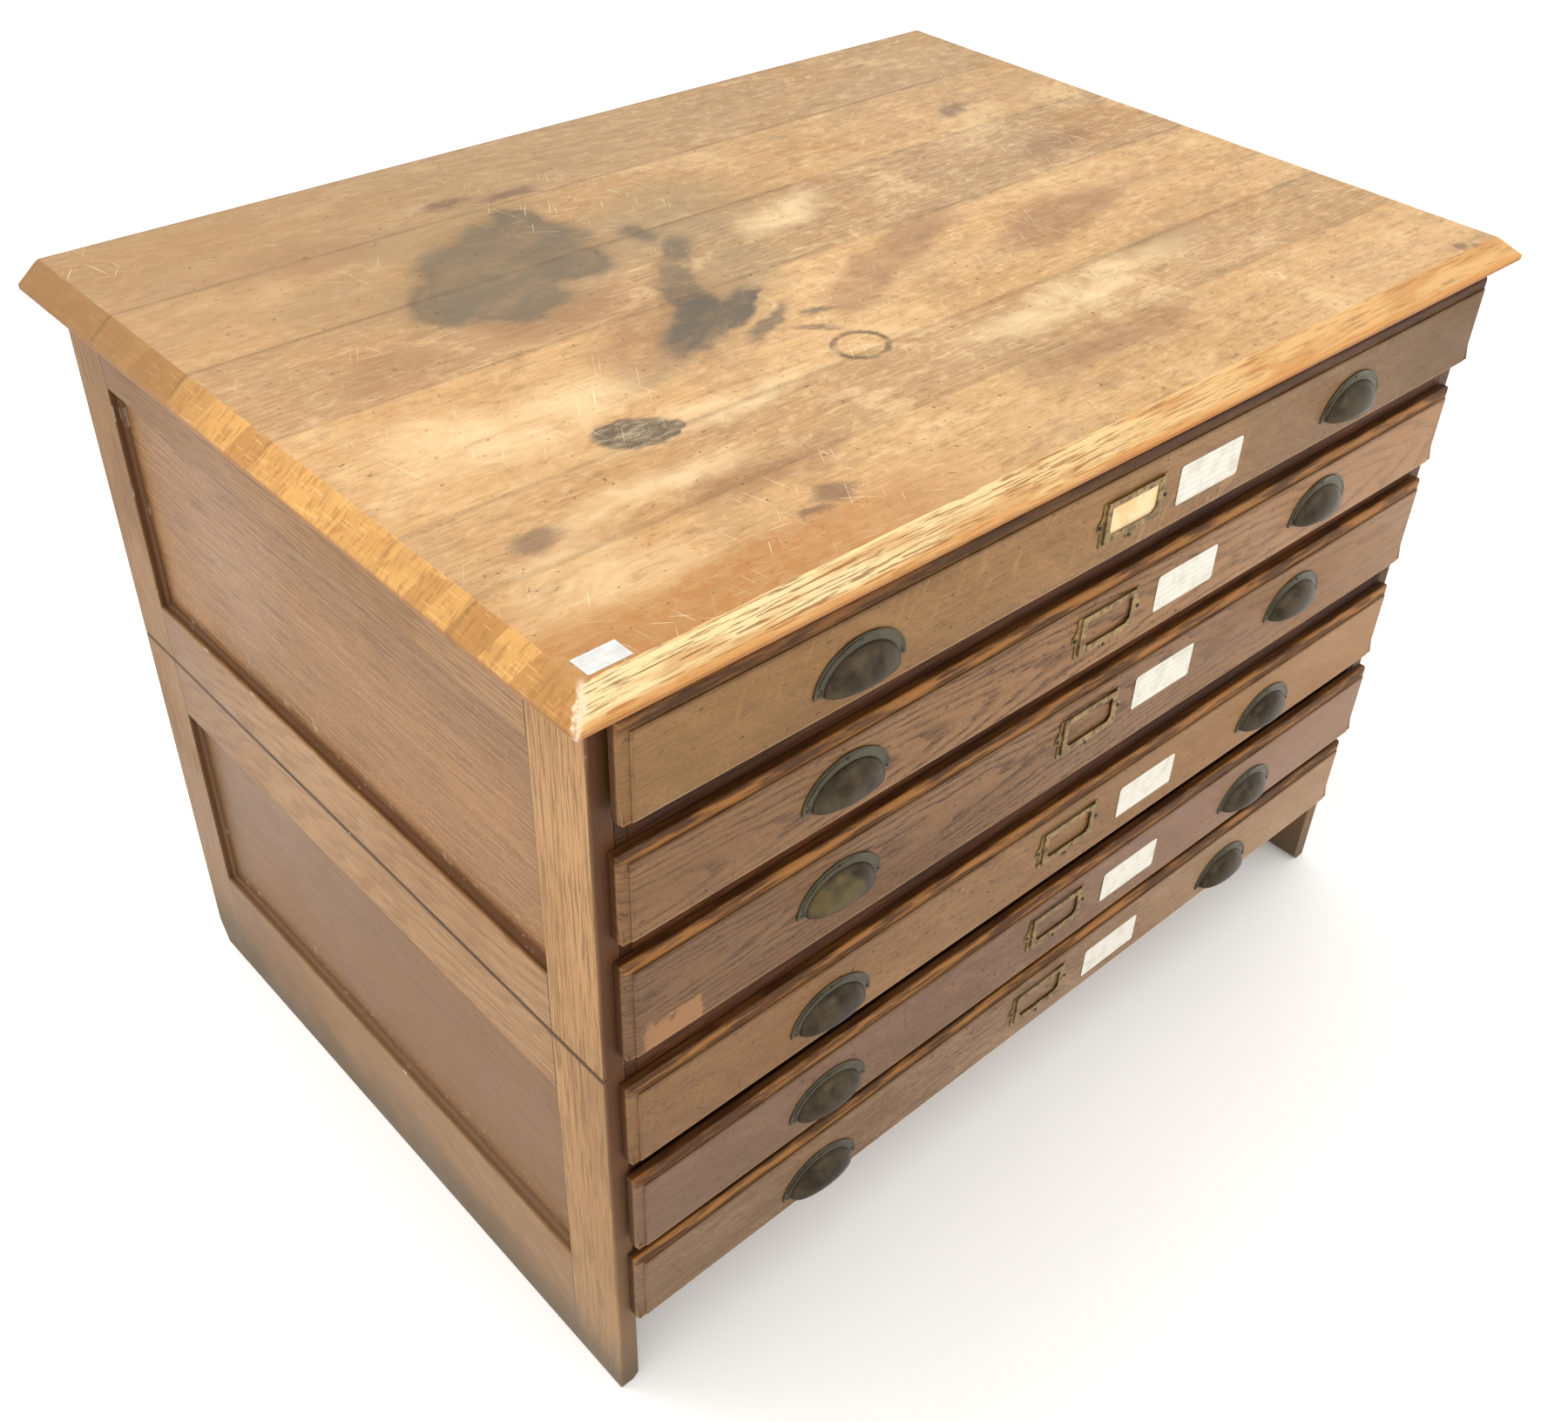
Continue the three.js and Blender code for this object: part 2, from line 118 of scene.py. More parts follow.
class Wire:
    """A node's output. Sums, products and comparisons of wires become maths nodes."""

    def __init__(self, graph, socket):
        self.graph, self.socket = graph, socket

    def __add__(self, other):
        return self.graph.math("ADD", self, other)

    def __sub__(self, other):
        return self.graph.math("SUBTRACT", self, other)

    def __rsub__(self, other):
        return self.graph.math("SUBTRACT", other, self)

    def __mul__(self, other):
        return self.graph.math("MULTIPLY", self, other)

    def __lt__(self, other):
        return self.graph.math("LESS_THAN", self, other)

    def __gt__(self, other):
        return self.graph.math("GREATER_THAN", self, other)


class Graph:
    """One material's nodes, built from numbers and wires."""

    def __init__(self, name):
        self.material = bpy.data.materials.new(name)
        self.material.use_nodes = True
        self.tree = self.material.node_tree
        self.tree.nodes.clear()
        self.colour = None

    def add(self, kind, inputs, output=0, **settings):
        """A shader node with its settings and inputs, which are numbers, wires or linear colours."""
        node = self.tree.nodes.new(f"ShaderNode{kind}")
        for key, value in settings.items():
            setattr(node, key, value)
        for key, value in inputs.items():
            socket = node.inputs[key]
            if isinstance(value, Wire):
                self.tree.links.new(value.socket, socket)
            elif socket.type == "RGBA":
                socket.default_value = (*value, 1)
            else:
                socket.default_value = value
        return Wire(self, node.outputs[output])

    def place(self):
        return self.add("TexCoord", {}, "Object")

    def split(self, vector):
        return [self.add("SeparateXYZ", {0: vector}, axis) for axis in range(3)]

    def join(self, x, y, z):
        return self.add("CombineXYZ", {0: x, 1: y, 2: z})

    def scaled(self, vector, factors):
        return self.add("VectorMath", {0: vector, 1: factors}, operation="MULTIPLY")

    def moved(self, vector, offset):
        return self.add("VectorMath", {0: vector, 1: offset}, operation="ADD")

    def length(self, vector):
        return self.add("VectorMath", {0: vector}, "Value", operation="LENGTH")

    def math(self, operation, a, b=0):
        return self.add("Math", {0: a, 1: b}, operation=operation)

    def least(self, a, b):
        return self.math("MINIMUM", a, b)

    def distance(self, a, b):
        return self.math("ABSOLUTE", a - b)

    def noise(self, vector, scale=1, detail=2, roughness=0.5, distortion=0):
        inputs = {"Vector": vector, "Scale": scale, "Detail": detail, "Roughness": roughness}
        return self.add("TexNoise", {**inputs, "Distortion": distortion})

    def noise_vector(self, vector, scale, detail):
        inputs = {"Vector": vector, "Scale": scale, "Detail": detail}
        return self.add("TexNoise", inputs, "Color")

    def span(self, value, low, high, out_low=0, out_high=1):
        """value from low to high, eased into out_low to out_high, and held beyond them."""
        inputs = {0: value, 1: low, 2: high, 3: out_low, 4: out_high}
        return self.add("MapRange", inputs, interpolation_type="SMOOTHSTEP")

    def mix(self, factor, a, b):
        return self.add("Mix", {0: factor, 6: a, 7: b}, 2, data_type="RGBA")

    def paint(self, factor, tone):
        """Lays a tone over the material's colour so far."""
        self.colour = self.mix(factor, self.colour, tone)

    def fade(self, value, low, high, most, tone):
        """Paints where value runs from low to high, up to a strength of most."""
        self.paint(self.span(value, low, high, 0, most), tone)

    def grain(self, vector, factors, detail=2, roughness=0.5, distortion=0):
        """Noise stretched by a factor along each axis."""
        return self.noise(self.scaled(vector, factors), 1, detail, roughness, distortion)

    def ramp(self, value, stops, smooth=True):
        """A value from a list of (position, value) stops."""
        node = self.tree.nodes.new("ShaderNodeValToRGB")
        self.tree.links.new(value.socket, node.inputs[0])
        node.color_ramp.interpolation = "LINEAR" if smooth else "CONSTANT"
        elements = node.color_ramp.elements
        elements.remove(elements[1])
        elements[0].position = stops[0][0]
        elements[0].color = (stops[0][1],) * 3 + (1,)
        for position, level in stops[1:]:
            elements.new(position).color = (level, level, level, 1)
        return Wire(self, node.outputs[0])

    def warped(self, vector, scale, amount, detail=3):
        """A place shifted by noise, so that outlines drawn there turn ragged."""
        shift = self.moved(self.noise_vector(vector, scale, detail), (-0.5, -0.5, -0.5))
        return self.moved(vector, self.scaled(shift, (amount, amount, amount)))

    def turned(self, vector, angle, axis):
        inputs = {"Vector": vector, "Angle": math.radians(angle)}
        return self.add("VectorRotate", inputs, rotation_type=axis)

    def blob(self, vector, x, y, rx, ry, turn=0):
        """Distance from (x, y), 1 on an ellipse of half sizes rx and ry, turned in degrees."""
        inputs = {"Vector": vector, "Location": (x, y, 0), "Scale": (rx, ry, 1)}
        inputs["Rotation"] = (0, 0, math.radians(turn))
        flat = self.scaled(self.add("Mapping", inputs, vector_type="TEXTURE"), (1, 1, 0))
        return self.length(flat)

    def blobs(self, vector, shapes):
        """The least blob distance of several ellipses, which are given in millimetres and degrees."""
        found = [self.blob(vector, *(size * MM for size in sizes), turn) for *sizes, turn in shapes]
        return reduce(self.least, found)

    def zone(self, vector, shapes, outer, inner, most=1):
        """0 outside the ellipses, most inside them."""
        return self.span(self.blobs(vector, shapes), outer, inner, 0, most)

    def edge(self, radius, low=0.02, high=0.25):
        """1 on convex and concave edges within radius, 0 on open faces."""
        soft = self.add("Bevel", {"Radius": radius}, samples=2)
        true = self.add("NewGeometry", {}, "Normal")
        same = self.add("VectorMath", {0: soft, 1: true}, "Value", operation="DOT_PRODUCT")
        return self.span(1 - same, low, high)

    def surface(self, roughness, height, strength, metallic=0, glow=0):
        """Ends the material, in the colour painted so far, and returns it."""
        bump = self.add("Bump", {"Strength": strength, "Distance": BUMP_DEPTH, "Height": height})
        inputs = {"Base Color": self.colour, "Roughness": roughness, "Metallic": metallic, "Normal": bump}
        inputs["Specular IOR Level"] = METAL_GLOSS if metallic else GLOSS
        if glow:
            inputs.update({"Emission Color": (1, 0.99, 0.97), "Emission Strength": glow})
        shader = self.add("BsdfPrincipled", inputs)
        output = self.tree.nodes.new("ShaderNodeOutputMaterial")
        self.tree.links.new(shader.socket, output.inputs["Surface"])
        return self.material


# ------------ oak

GRAIN_ORDER = {"X": (0, 1, 2), "Y": (1, 2, 0), "Z": (2, 0, 1), "X_up": (0, 2, 1)}


@dataclass
class Oak:
    """A board's three tones, and how it was cut."""
    dark: tuple
    mid: tuple
    light: tuple
    pith: float = 0  # the pith's offset across the face
    depth: float = 0.09  # and below it
    slope: float = 0.03  # how fast the board runs away from the pith
    rings: float = 260  # year rings in a metre
    warp: float = 0.006
    ripple: float = 0.001
    figure: float = 0.6
    fibre: float = 0.5
    flecks: float = 0


def grain_space(g, along, seed):
    """Object coordinates turned so that x runs with the grain, y across the face and z into the board."""
    axes = g.split(g.place())
    return g.moved(g.join(*(axes[index] for index in GRAIN_ORDER[along])), seed)


def oak_layers(g, space, oak, centre=0):
    """Paints sawn oak in a grain space whose middle lies at centre across, and returns its height."""
    u, v, _ = g.split(space)
    drift = g.grain(space, (2.6, 16, 16), 2) - 0.5
    ripple = g.grain(space, (22, 70, 70), 2) - 0.5
    across = v - centre - oak.pith
    under = u * oak.slope + oak.depth
    radius = g.length(g.join(across, under, 0)) + drift * (oak.warp * 3) + ripple * oak.ripple
    ring = g.math("FRACT", radius * oak.rings)
    band = g.span(ring, 0, 0.08) * g.span(ring, 0.6, 0.2)
    pores = g.grain(space, (30, 480, 480), 3, 0.65)
    dashes = g.span(pores, 0.47, 0.57)
    line = band * (dashes * 0.7 + 0.3)
    fibres = g.grain(space, (16, 360, 360), 5, 0.75)
    tone = g.grain(space, (1.6, 7, 7), 4, 0.6)
    g.colour = g.mix(g.span(tone, 0.3, 0.72), oak.mid, oak.light)
    g.paint(line * oak.figure, oak.dark)
    g.paint(g.span(fibres, 0.52, 0.42) * oak.fibre, oak.dark)
    g.paint(g.span(fibres, 0.56, 0.66) * (oak.fibre * 0.5), shade(oak.light, 1.25))
    if oak.flecks:
        rays = g.grain(g.turned(space, 24, "Z_AXIS"), (190, 24, 24), 2, 0.5, 0.6)
        flecked = g.span(g.grain(space, (5, 9, 9), 2), 0.38, 0.58)
        g.paint(g.span(rays, 0.57, 0.63, 0, oak.flecks) * flecked, shade(oak.light, 1.45))
    return fibres * 0.5 - line * 0.6


def shade(colour, factor):
    return tuple(min(1, c * factor) for c in colour)


# ------------ the top's material

TOP_LOW, TOP_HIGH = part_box("top_board")
TOP_BEVEL = 24 * MM
JOINT_HALF = 0.0028  # of the top's depth
BOARD_EDGES = (-282, -183, 1, 144, 287)  # in millimetres from the middle
BOARD_TONES = (0.64, 0.44, 0.6, 0.34, 0.52, 0.36)
# The side bevels' blocks of end grain: where each begins, in millimetres, and its tone.
BEVEL_BLOCKS = (
    (-427, 0.35), (-355, 0.85), (-320, 0.25), (-279, 0.75), (-250, 0.45), (-224, 0.95), (-180, 0.7),
    (-120, 0.9), (-50, 0.75), (4, 0.3), (40, 0.85), (95, 0.55), (147, 0.1), (215, 0.3), (290, 0.15),
)
# Marks on the top, as ellipses: x, y and half sizes in millimetres, and turn in degrees.
MAIN_STAIN = (
    (-330, 120, 62, 50, 20), (-270, 150, 80, 70, 45), (-215, 190, 60, 62, 60), (-290, 85, 55, 40, 10),
    (-186, 236, 34, 28, 70), (-205, 120, 40, 30, 20),
)
SIDE_STAIN = (
    (-196, -60, 46, 24, 20), (-150, -48, 46, 16, 35), (-168, -22, 30, 22, 50), (-118, -36, 20, 6, 25),
)
TAIL_STAIN = (
    (-164, 12, 16, 34, -10), (-140, 52, 13, 26, -25), (-112, 92, 12, 26, -30), (-120, 144, 16, 12, 100),
    (-134, -84, 36, 7, 25), (-88, -98, 14, 5, -30),
)
BARK_STAIN = (
    (-362, -168, 38, 25, -20), (-338, -180, 22, 12, 10),
)
SMALL_STAINS = (
    (-517, -252, 22, 12, 10), (-300, -338, 20, 10, 0), (414, 196, 30, 12, 20), (540, -396, 12, 5, 30),
    (556, -404, 6, 4, 0), (-112, -120, 22, 5, -50), (-330, -352, 16, 6, 0), (-220, 320, 30, 10, 10),
    (-150, 304, 34, 10, 5),
)
BROWN_ZONES = (
    (-230, -35, 120, 55, 20), (-290, 40, 100, 40, 0), (-20, -80, 90, 30, 30), (110, -30, 110, 30, 20),
    (-190, 310, 65, 16, 5), (100, -300, 150, 25, 3), (300, -200, 80, 22, 0), (-330, -290, 90, 22, 0),
    (-460, 40, 60, 50, 0), (270, -85, 130, 42, 12), (-410, 290, 100, 45, 0), (420, 50, 80, 30, 10),
)
GREY_ZONES = (
    (-60, 160, 120, 90, 30), (-420, 180, 80, 60, 10), (-100, 10, 90, 50, 40), (-270, 260, 150, 40, 5),
    (-270, -90, 80, 30, 10),
)
PALE_ZONES = (
    (-470, -95, 85, 55, -15), (-385, -100, 80, 45, 10), (150, -220, 200, 30, 5), (-520, -300, 60, 40, 20),
    (-300, -180, 140, 20, 0), (-420, -250, 120, 20, 0), (35, 95, 70, 34, 20),
)
CUP_RING = ((-105, -170, 27.2, 23.8, 10),)
# Each direction that the scratches run in, in degrees, with its seed.
SCRATCHES = ((34, 0), (-58, 3.1), (78, 7.7), (8, 5.2))


def scratches_on(g, place):
    """Fine short scratches in several directions."""
    found = 0
    for angle, seed in SCRATCHES:
        turned = g.turned(place, angle, "Z_AXIS")
        thin = g.noise(g.moved(g.scaled(turned, (17, 640, 1)), (seed, seed, 0)), 1, 2, 0.4, 0.25)
        found = g.math("MAXIMUM", g.span(thin, 0.69, 0.75), found)
    return found


def part_way(y):
    """How far back a place on the top lies, 0 at its front edge and 1 at its rear one."""
    return (y - TOP_LOW[1]) / (TOP_HIGH[1] - TOP_LOW[1])


def top_oak():
    """Six boards of worn oak, with wear, water stains, a cup ring and scratches."""
    g = Graph("oak_top")
    place = g.place()
    x, y, z = g.split(place)
    edges = [part_way(edge * MM) for edge in BOARD_EDGES]
    linear = g.add("MapRange", {0: y, 1: TOP_LOW[1], 2: TOP_HIGH[1], 3: 0, 4: 1})
    board = g.ramp(linear, list(zip([0] + edges, BOARD_TONES)), smooth=False)
    gaps = [(0, 0)]
    for edge in edges:
        gaps += [(edge - JOINT_HALF, 0), (edge, 1), (edge + JOINT_HALF, 0)]
    gap = g.ramp(linear, gaps)
    space = g.moved(g.join(x, y, z), g.scaled(g.join(board, board, board), (9, 0, 5)))
    oak = Oak(rgb(120, 90, 56), rgb(166, 133, 94), rgb(184, 151, 111), pith=0.3, depth=0.15, slope=0.05,
              rings=200, warp=0.004, figure=0.3)
    height = oak_layers(g, space, oak)
    patch = g.grain(place, (3.5, 7, 1), 7, 0.68, 0.5)
    cloud = g.grain(place, (7, 11, 1), 6, 0.7, 0.8)
    mottle = g.grain(place, (55, 95, 1), 4, 0.65, 0.6)
    g.fade(board, 0.3, 0.65, 0.55, rgb(206, 164, 110))
    g.fade(cloud, 0.5, 0.6, 0.38, rgb(150, 122, 88))
    g.fade(cloud, 0.46, 0.36, 0.45, rgb(212, 182, 136))
    g.fade(patch, 0.5, 0.62, 0.35, rgb(170, 128, 82))
    g.fade(mottle, 0.52, 0.66, 0.34, rgb(216, 186, 142))
    g.fade(mottle, 0.46, 0.34, 0.34, rgb(124, 94, 62))
    dashes = g.grain(place, (30, 300, 60), 4, 0.75)
    g.fade(dashes, 0.52, 0.66, 0.34, rgb(118, 86, 54))
    g.fade(dashes, 0.46, 0.34, 0.2, rgb(228, 198, 150))
    ragged = g.warped(g.warped(g.warped(place, 7, 0.06), 30, 0.03, 4), 120, 0.008)
    wash = g.grain(place, (14, 22, 1), 5, 0.65, 0.6)
    g.paint(g.zone(ragged, GREY_ZONES, 1.2, 0.5, 0.55) * g.span(wash, 0.3, 0.6, 0.4), rgb(134, 118, 90))
    g.paint(g.zone(ragged, BROWN_ZONES, 1.15, 0.45, 0.6) * g.span(wash, 0.25, 0.6, 0.5), rgb(128, 92, 64))
    g.paint(g.zone(ragged, PALE_ZONES, 1.3, 0.3, 0.75) * g.span(wash, 0.3, 0.6, 0.2), rgb(222, 196, 152))
    strip = y + (wash - 0.5) * 0.05
    strip = g.span(strip, -0.335, -0.365) * g.span(x, -0.1, -0.4)
    g.paint(strip * g.span(mottle, 0.3, 0.6, 0.3, 0.9), rgb(160, 106, 54))
    g.paint(g.span(y, -0.05, 0.42, 0, 0.62) * g.span(x, 0.3, -0.35, 0.25), rgb(128, 106, 76))
    g.fade(x, 0, -0.55, 0.22, rgb(176, 128, 74))
    spread = g.blobs(ragged, MAIN_STAIN)
    main = g.span(spread, 1.2, 0.74)
    rim = main * g.span(spread, 0.7, 0.9)
    g.paint(g.span(spread, 1.6, 0.95) * 0.4, rgb(122, 98, 68))
    g.paint(main * g.span(wash, 0.68, 0.36, 0.6, 0.92), rgb(104, 92, 74))
    g.paint(rim * g.span(wash, 0.4, 0.6, 0, 0.3), rgb(62, 56, 46))
    g.paint(g.zone(ragged, SIDE_STAIN + TAIL_STAIN, 2.2, 0.9, 0.42), rgb(122, 96, 68))
    g.paint(g.zone(ragged, SIDE_STAIN, 1.4, 0.7, 0.88) * g.span(wash, 0.3, 0.5, 0.6), rgb(84, 76, 64))
    g.paint(g.zone(ragged, TAIL_STAIN, 1.5, 0.6, 0.62) * g.span(wash, 0.3, 0.5, 0.4), rgb(88, 80, 66))
    bark = g.zone(g.warped(place, 60, 0.014), BARK_STAIN, 1.12, 0.85)
    crust = g.noise(g.warped(g.scaled(place, (60, 150, 1)), 1, 1.4), 1, 5, 0.7)
    bark_tone = g.mix(g.span(crust, 0.42, 0.66), rgb(70, 62, 50), rgb(150, 134, 106))
    g.paint(bark * 0.88, bark_tone)
    g.paint(g.zone(ragged, SMALL_STAINS, 1.5, 0.5, 0.62), rgb(96, 70, 58))
    ring = g.distance(g.blobs(g.warped(place, 60, 0.004), CUP_RING), 1)
    broken = g.span(g.noise(place, 60, 3), 0.35, 0.6, 0.35, 0.9)
    g.paint(g.span(ring, 0.2, 0.05) * broken, rgb(104, 82, 58))
    scratched = g.span(g.noise(place, 6, 2), 0.46, 0.66)
    scratched = g.math("MAXIMUM", scratched, g.zone(ragged, PALE_ZONES[:2], 1.3, 0.8))
    scratches = scratches_on(g, place) * scratched
    g.paint(scratches * 0.6, rgb(238, 218, 182))
    g.fade(g.noise(place, 190, 2, 0.4), 0.7, 0.76, 0.6, rgb(82, 56, 36))
    paint_bevels(g, place, linear)
    # Painted highlight: pale lines along the top's arrises, fading out towards the rear.
    g.paint(g.edge(0.004) * g.span(y, 0.42, 0.3, 0, 0.3), rgb(232, 196, 142))
    g.fade(z, TOP_LOW[2] + 0.0068, TOP_LOW[2] + 0.004, 0.75, rgb(156, 98, 46))
    corner = g.blob(g.warped(place, 90, 0.01), TOP_LOW[0] + 0.01, TOP_LOW[1] + 0.01, 0.004, 0.022, -45)
    bare = g.span(corner, 1.3, 0.6) * g.span(g.noise(place, 220, 3), 0.36, 0.56, 0.25, 0.9)
    g.paint(bare, rgb(228, 204, 176))
    nicks = g.span(g.grain(place, (90, 60, 140), 3), 0.42, 0.66, 0.12, 0.36)
    g.paint(g.span(y, TOP_HIGH[1] - 0.006, TOP_HIGH[1] - 0.001) * nicks, rgb(104, 76, 48))
    g.paint(gap * g.span(cloud, 0.4, 0.6, 0.55, 0.95), rgb(84, 58, 34))
    height = height - gap - scratches * 0.8 + bark * crust * 2
    return g.surface(g.span(patch, 0.3, 0.7, 0.42, 0.62) + main * 0.12, height, 0.22)


def paint_bevels(g, place, linear):
    """End grain in blocks on the left and right bevels, long grain with open pores on the front one."""
    x, y, _ = g.split(place)
    from_side = g.least(x - TOP_LOW[0], TOP_HIGH[0] - x)
    from_front = y - TOP_LOW[1]
    on_side = (from_side < TOP_BEVEL) * (from_side < from_front)
    on_front = (from_front < TOP_BEVEL) * (from_front < from_side)
    blocks = [(max(part_way(edge * MM), 0), tone) for edge, tone in BEVEL_BLOCKS]
    block = g.ramp(linear + from_side * 0.35, blocks, smooth=False)
    shifted = g.moved(place, g.scaled(g.join(block, block, block), (3, 7, 5)))
    streak = g.grain(shifted, (60, 260, 60), 4, 0.65, 0.3)
    rays = g.grain(shifted, (420, 30, 420), 3, 0.6)
    worn = g.colour
    g.colour = g.mix(block, rgb(158, 110, 58), rgb(206, 156, 88))
    g.fade(streak, 0.5, 0.38, 0.5, rgb(142, 94, 44))
    g.fade(rays, 0.55, 0.68, 0.35, rgb(232, 190, 124))
    g.fade(y, 0, 0.3, 0.75, rgb(130, 98, 60))
    g.fade(g.noise(place, 16, 3, 0.6), 0.52, 0.66, 0.45, rgb(160, 118, 68))
    worn = g.mix(on_side, worn, g.colour)
    pores = g.grain(place, (24, 620, 620), 3, 0.6)
    clumps = g.span(g.grain(place, (6, 90, 90), 3), 0.34, 0.5)
    g.colour = g.mix(g.span(x, -0.45, 0.35), rgb(226, 202, 150), rgb(210, 166, 108))
    g.fade(g.grain(place, (9, 60, 60), 3), 0.45, 0.62, 0.65, rgb(186, 130, 72))
    g.paint(g.span(pores, 0.51, 0.58) * g.span(x, 0.2, -0.3, 0.6) * clumps * 0.8, rgb(130, 80, 38))
    g.fade(from_front, 0.006, 0.001, 0.6, rgb(196, 132, 62))
    g.colour = g.mix(on_front, worn, g.colour)


# ------------ the carcass's materials

FRAME_DARK = rgb(112, 72, 36)
FOOT = 100 * MM  # below this height no dark rim is drawn


def paint_chips(g, edge):
    """Small chips of pale bare wood and old white paint along the edges."""
    g.paint(edge * g.span(g.noise(g.place(), 42, 3, 0.7), 0.63, 0.68) * 0.9, rgb(236, 224, 204))


def paint_floor_dirt(g):
    """Grey grime that rises a little way up from the floor."""
    place = g.place()
    g.fade(g.split(place)[2] + g.grain(place, (9, 9, 14), 4) * -0.1, 0.05, -0.04, 0.72, rgb(84, 74, 56))


def frame_oak(unit, side, seed):
    """Stiles with upright grain, rails with grain along the depth, and the fine lines where they meet."""
    g = Graph(f"oak_frame_{unit}_{side}")
    low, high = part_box(f"{unit}_{side}_frame")
    panel_low, panel_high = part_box(f"{unit}_{side}_panel")
    place = g.place()
    x, y, z = g.split(place)
    stile_space = g.moved(g.join(z, y, x), (seed, seed * 1.7, seed * 0.6))
    rail_space = g.moved(g.join(y, z, x), (seed * 2.1, seed * 0.9, seed))
    stile = Oak(FRAME_DARK, rgb(168, 126, 78), rgb(188, 144, 92), pith=0.16 + seed * 1.7, depth=0.05,
                slope=0.015, rings=300, warp=0.004, figure=0.35, fibre=0.62)
    rail = Oak(FRAME_DARK, rgb(156, 118, 78), rgb(172, 134, 92), pith=seed * 0.9 + (0.05 + high[2]) * 0.5,
               depth=0.07, slope=0.06, rings=240, warp=0.007, figure=0.45)
    stile_height = oak_layers(g, stile_space, stile)
    stile_colour = g.colour
    rail_height = oak_layers(g, rail_space, rail)
    middle, half = (panel_low[1] + panel_high[1]) / 2, (panel_high[1] - panel_low[1]) / 2
    from_middle = g.distance(y, middle)
    in_rail = from_middle < half
    g.colour = g.mix(in_rail, stile_colour, g.colour)
    height = in_rail * rail_height + (1 - in_rail) * stile_height
    patch = g.grain(place, (3, 4, 4), 5, 0.6)
    g.fade(patch, 0.5, 0.72, 0.45, rgb(126, 96, 68))
    seam = g.span(g.distance(from_middle, half), 0.0014, 0.0003)
    g.paint(seam * 0.75, rgb(48, 30, 16))
    # Painted shade: a dark band along the frame's top and bottom, in the joint between the units and under
    # the top's overhang.
    rim = g.least(g.distance(z, low[2]), g.distance(z, high[2]))
    g.paint(g.span(rim, 0.005, 0.001, 0, 0.85) * (z > FOOT), rgb(52, 32, 18))
    # Painted shade: every face set back from the frame's outer face, such as its front edge, the edges
    # round the panel and the bead, is darkened.
    outer_x = low[0] if side == "left" else high[0]
    g.fade(g.distance(x, outer_x), 0.0012, 0.004, 0.88, rgb(82, 44, 18))
    # Painted shade on the frame's front face, deeper higher up.
    facing = g.span(y, low[1] + 0.0015, low[1] + 0.0002, 0, 0.8)
    g.paint(facing * g.span(z, 0.05, 0.45, 0.35), rgb(78, 46, 22))
    edge = g.edge(0.0025)
    g.paint(edge * 0.28, rgb(190, 148, 100))
    g.fade(z, 0.55, 0.02, 0.55, rgb(134, 106, 76))
    g.fade(y, 0.05, 0.38, 0.5, rgb(106, 76, 48))
    paint_chips(g, edge)
    paint_floor_dirt(g)
    return g.surface(g.span(patch, 0.3, 0.7, 0.42, 0.58), height - seam * 1.5, 0.25)


def panel_oak(unit, side, seed):
    """A panel with grain along its length, browner towards its edges, dusty on its lower one."""
    g = Graph(f"oak_panel_{unit}_{side}")
    low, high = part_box(f"{unit}_{side}_panel")
    place = g.place()
    x, y, z = g.split(place)
    space = g.moved(g.join(y, z, x), (seed, 0, seed * 2))
    oak = Oak(rgb(96, 60, 32), rgb(144, 104, 64), rgb(164, 122, 80), pith=0.9, depth=0.3, slope=0.02,
              rings=300, warp=0.002, figure=0.2, fibre=0.55)
    height = oak_layers(g, space, oak)
    cloud = g.grain(place, (3, 4, 6), 5, 0.6)
    g.fade(cloud, 0.45, 0.7, 0.4, rgb(172, 132, 92))
    rim = g.least(g.least(y - low[1], high[1] - y), g.least(z - low[2], high[2] - z))
    g.fade(rim + (g.noise(place, 25, 3) - 0.5) * 0.012, 0.02, 0, 0.7, rgb(92, 54, 28))
    speckle = g.grain(place, (200, 160, 420), 3, 0.7)
    g.fade(speckle, 0.55, 0.68, 0.4, rgb(190, 150, 108))
    g.fade(speckle, 0.46, 0.34, 0.4, rgb(122, 84, 50))
    streaks = g.grain(space, (7, 520, 520), 4, 0.7)
    g.fade(streaks, 0.52, 0.64, 0.5, rgb(108, 72, 42))
    g.fade(streaks, 0.47, 0.36, 0.3, rgb(186, 148, 106))
    g.fade(z, 0.52, 0.3, 0.6, rgb(108, 79, 52))
    dust = g.span(g.grain(place, (40, 90, 90), 3, 0.7), 0.58, 0.7, 0, 0.6)
    g.paint(dust * g.span(z - low[2], 0.05, 0), rgb(196, 170, 140))
    return g.surface(g.span(cloud, 0.3, 0.7, 0.36, 0.52), height, 0.15)


def rail_oak(name, seed, centre, tone=1):
    """Dark reddish rails and runners, painted darker than the fronts as the shade in the gaps between them.
    """
    g = Graph(f"oak_rail_{name}")
    space = grain_space(g, "X_up", (seed, 0, seed))
    # tone lightens or deepens this painted shade rail by rail.
    tones = [shade(each, tone) for each in (rgb(26, 12, 6), rgb(62, 34, 16), rgb(84, 48, 24))]
    oak = Oak(*tones, pith=0.1, depth=0.08, slope=0.04, figure=0.5, fibre=0.55)
    height = oak_layers(g, space, oak, centre)
    patch = g.grain(g.place(), (3, 12, 12), 4)
    g.fade(patch, 0.42, 0.66, 0.6, rgb(34, 17, 8))
    g.paint(g.edge(0.003) * 0.2, shade(rgb(112, 66, 32), tone))
    return g.surface(g.span(patch, 0.3, 0.7, 0.45, 0.6), height, 0.2)


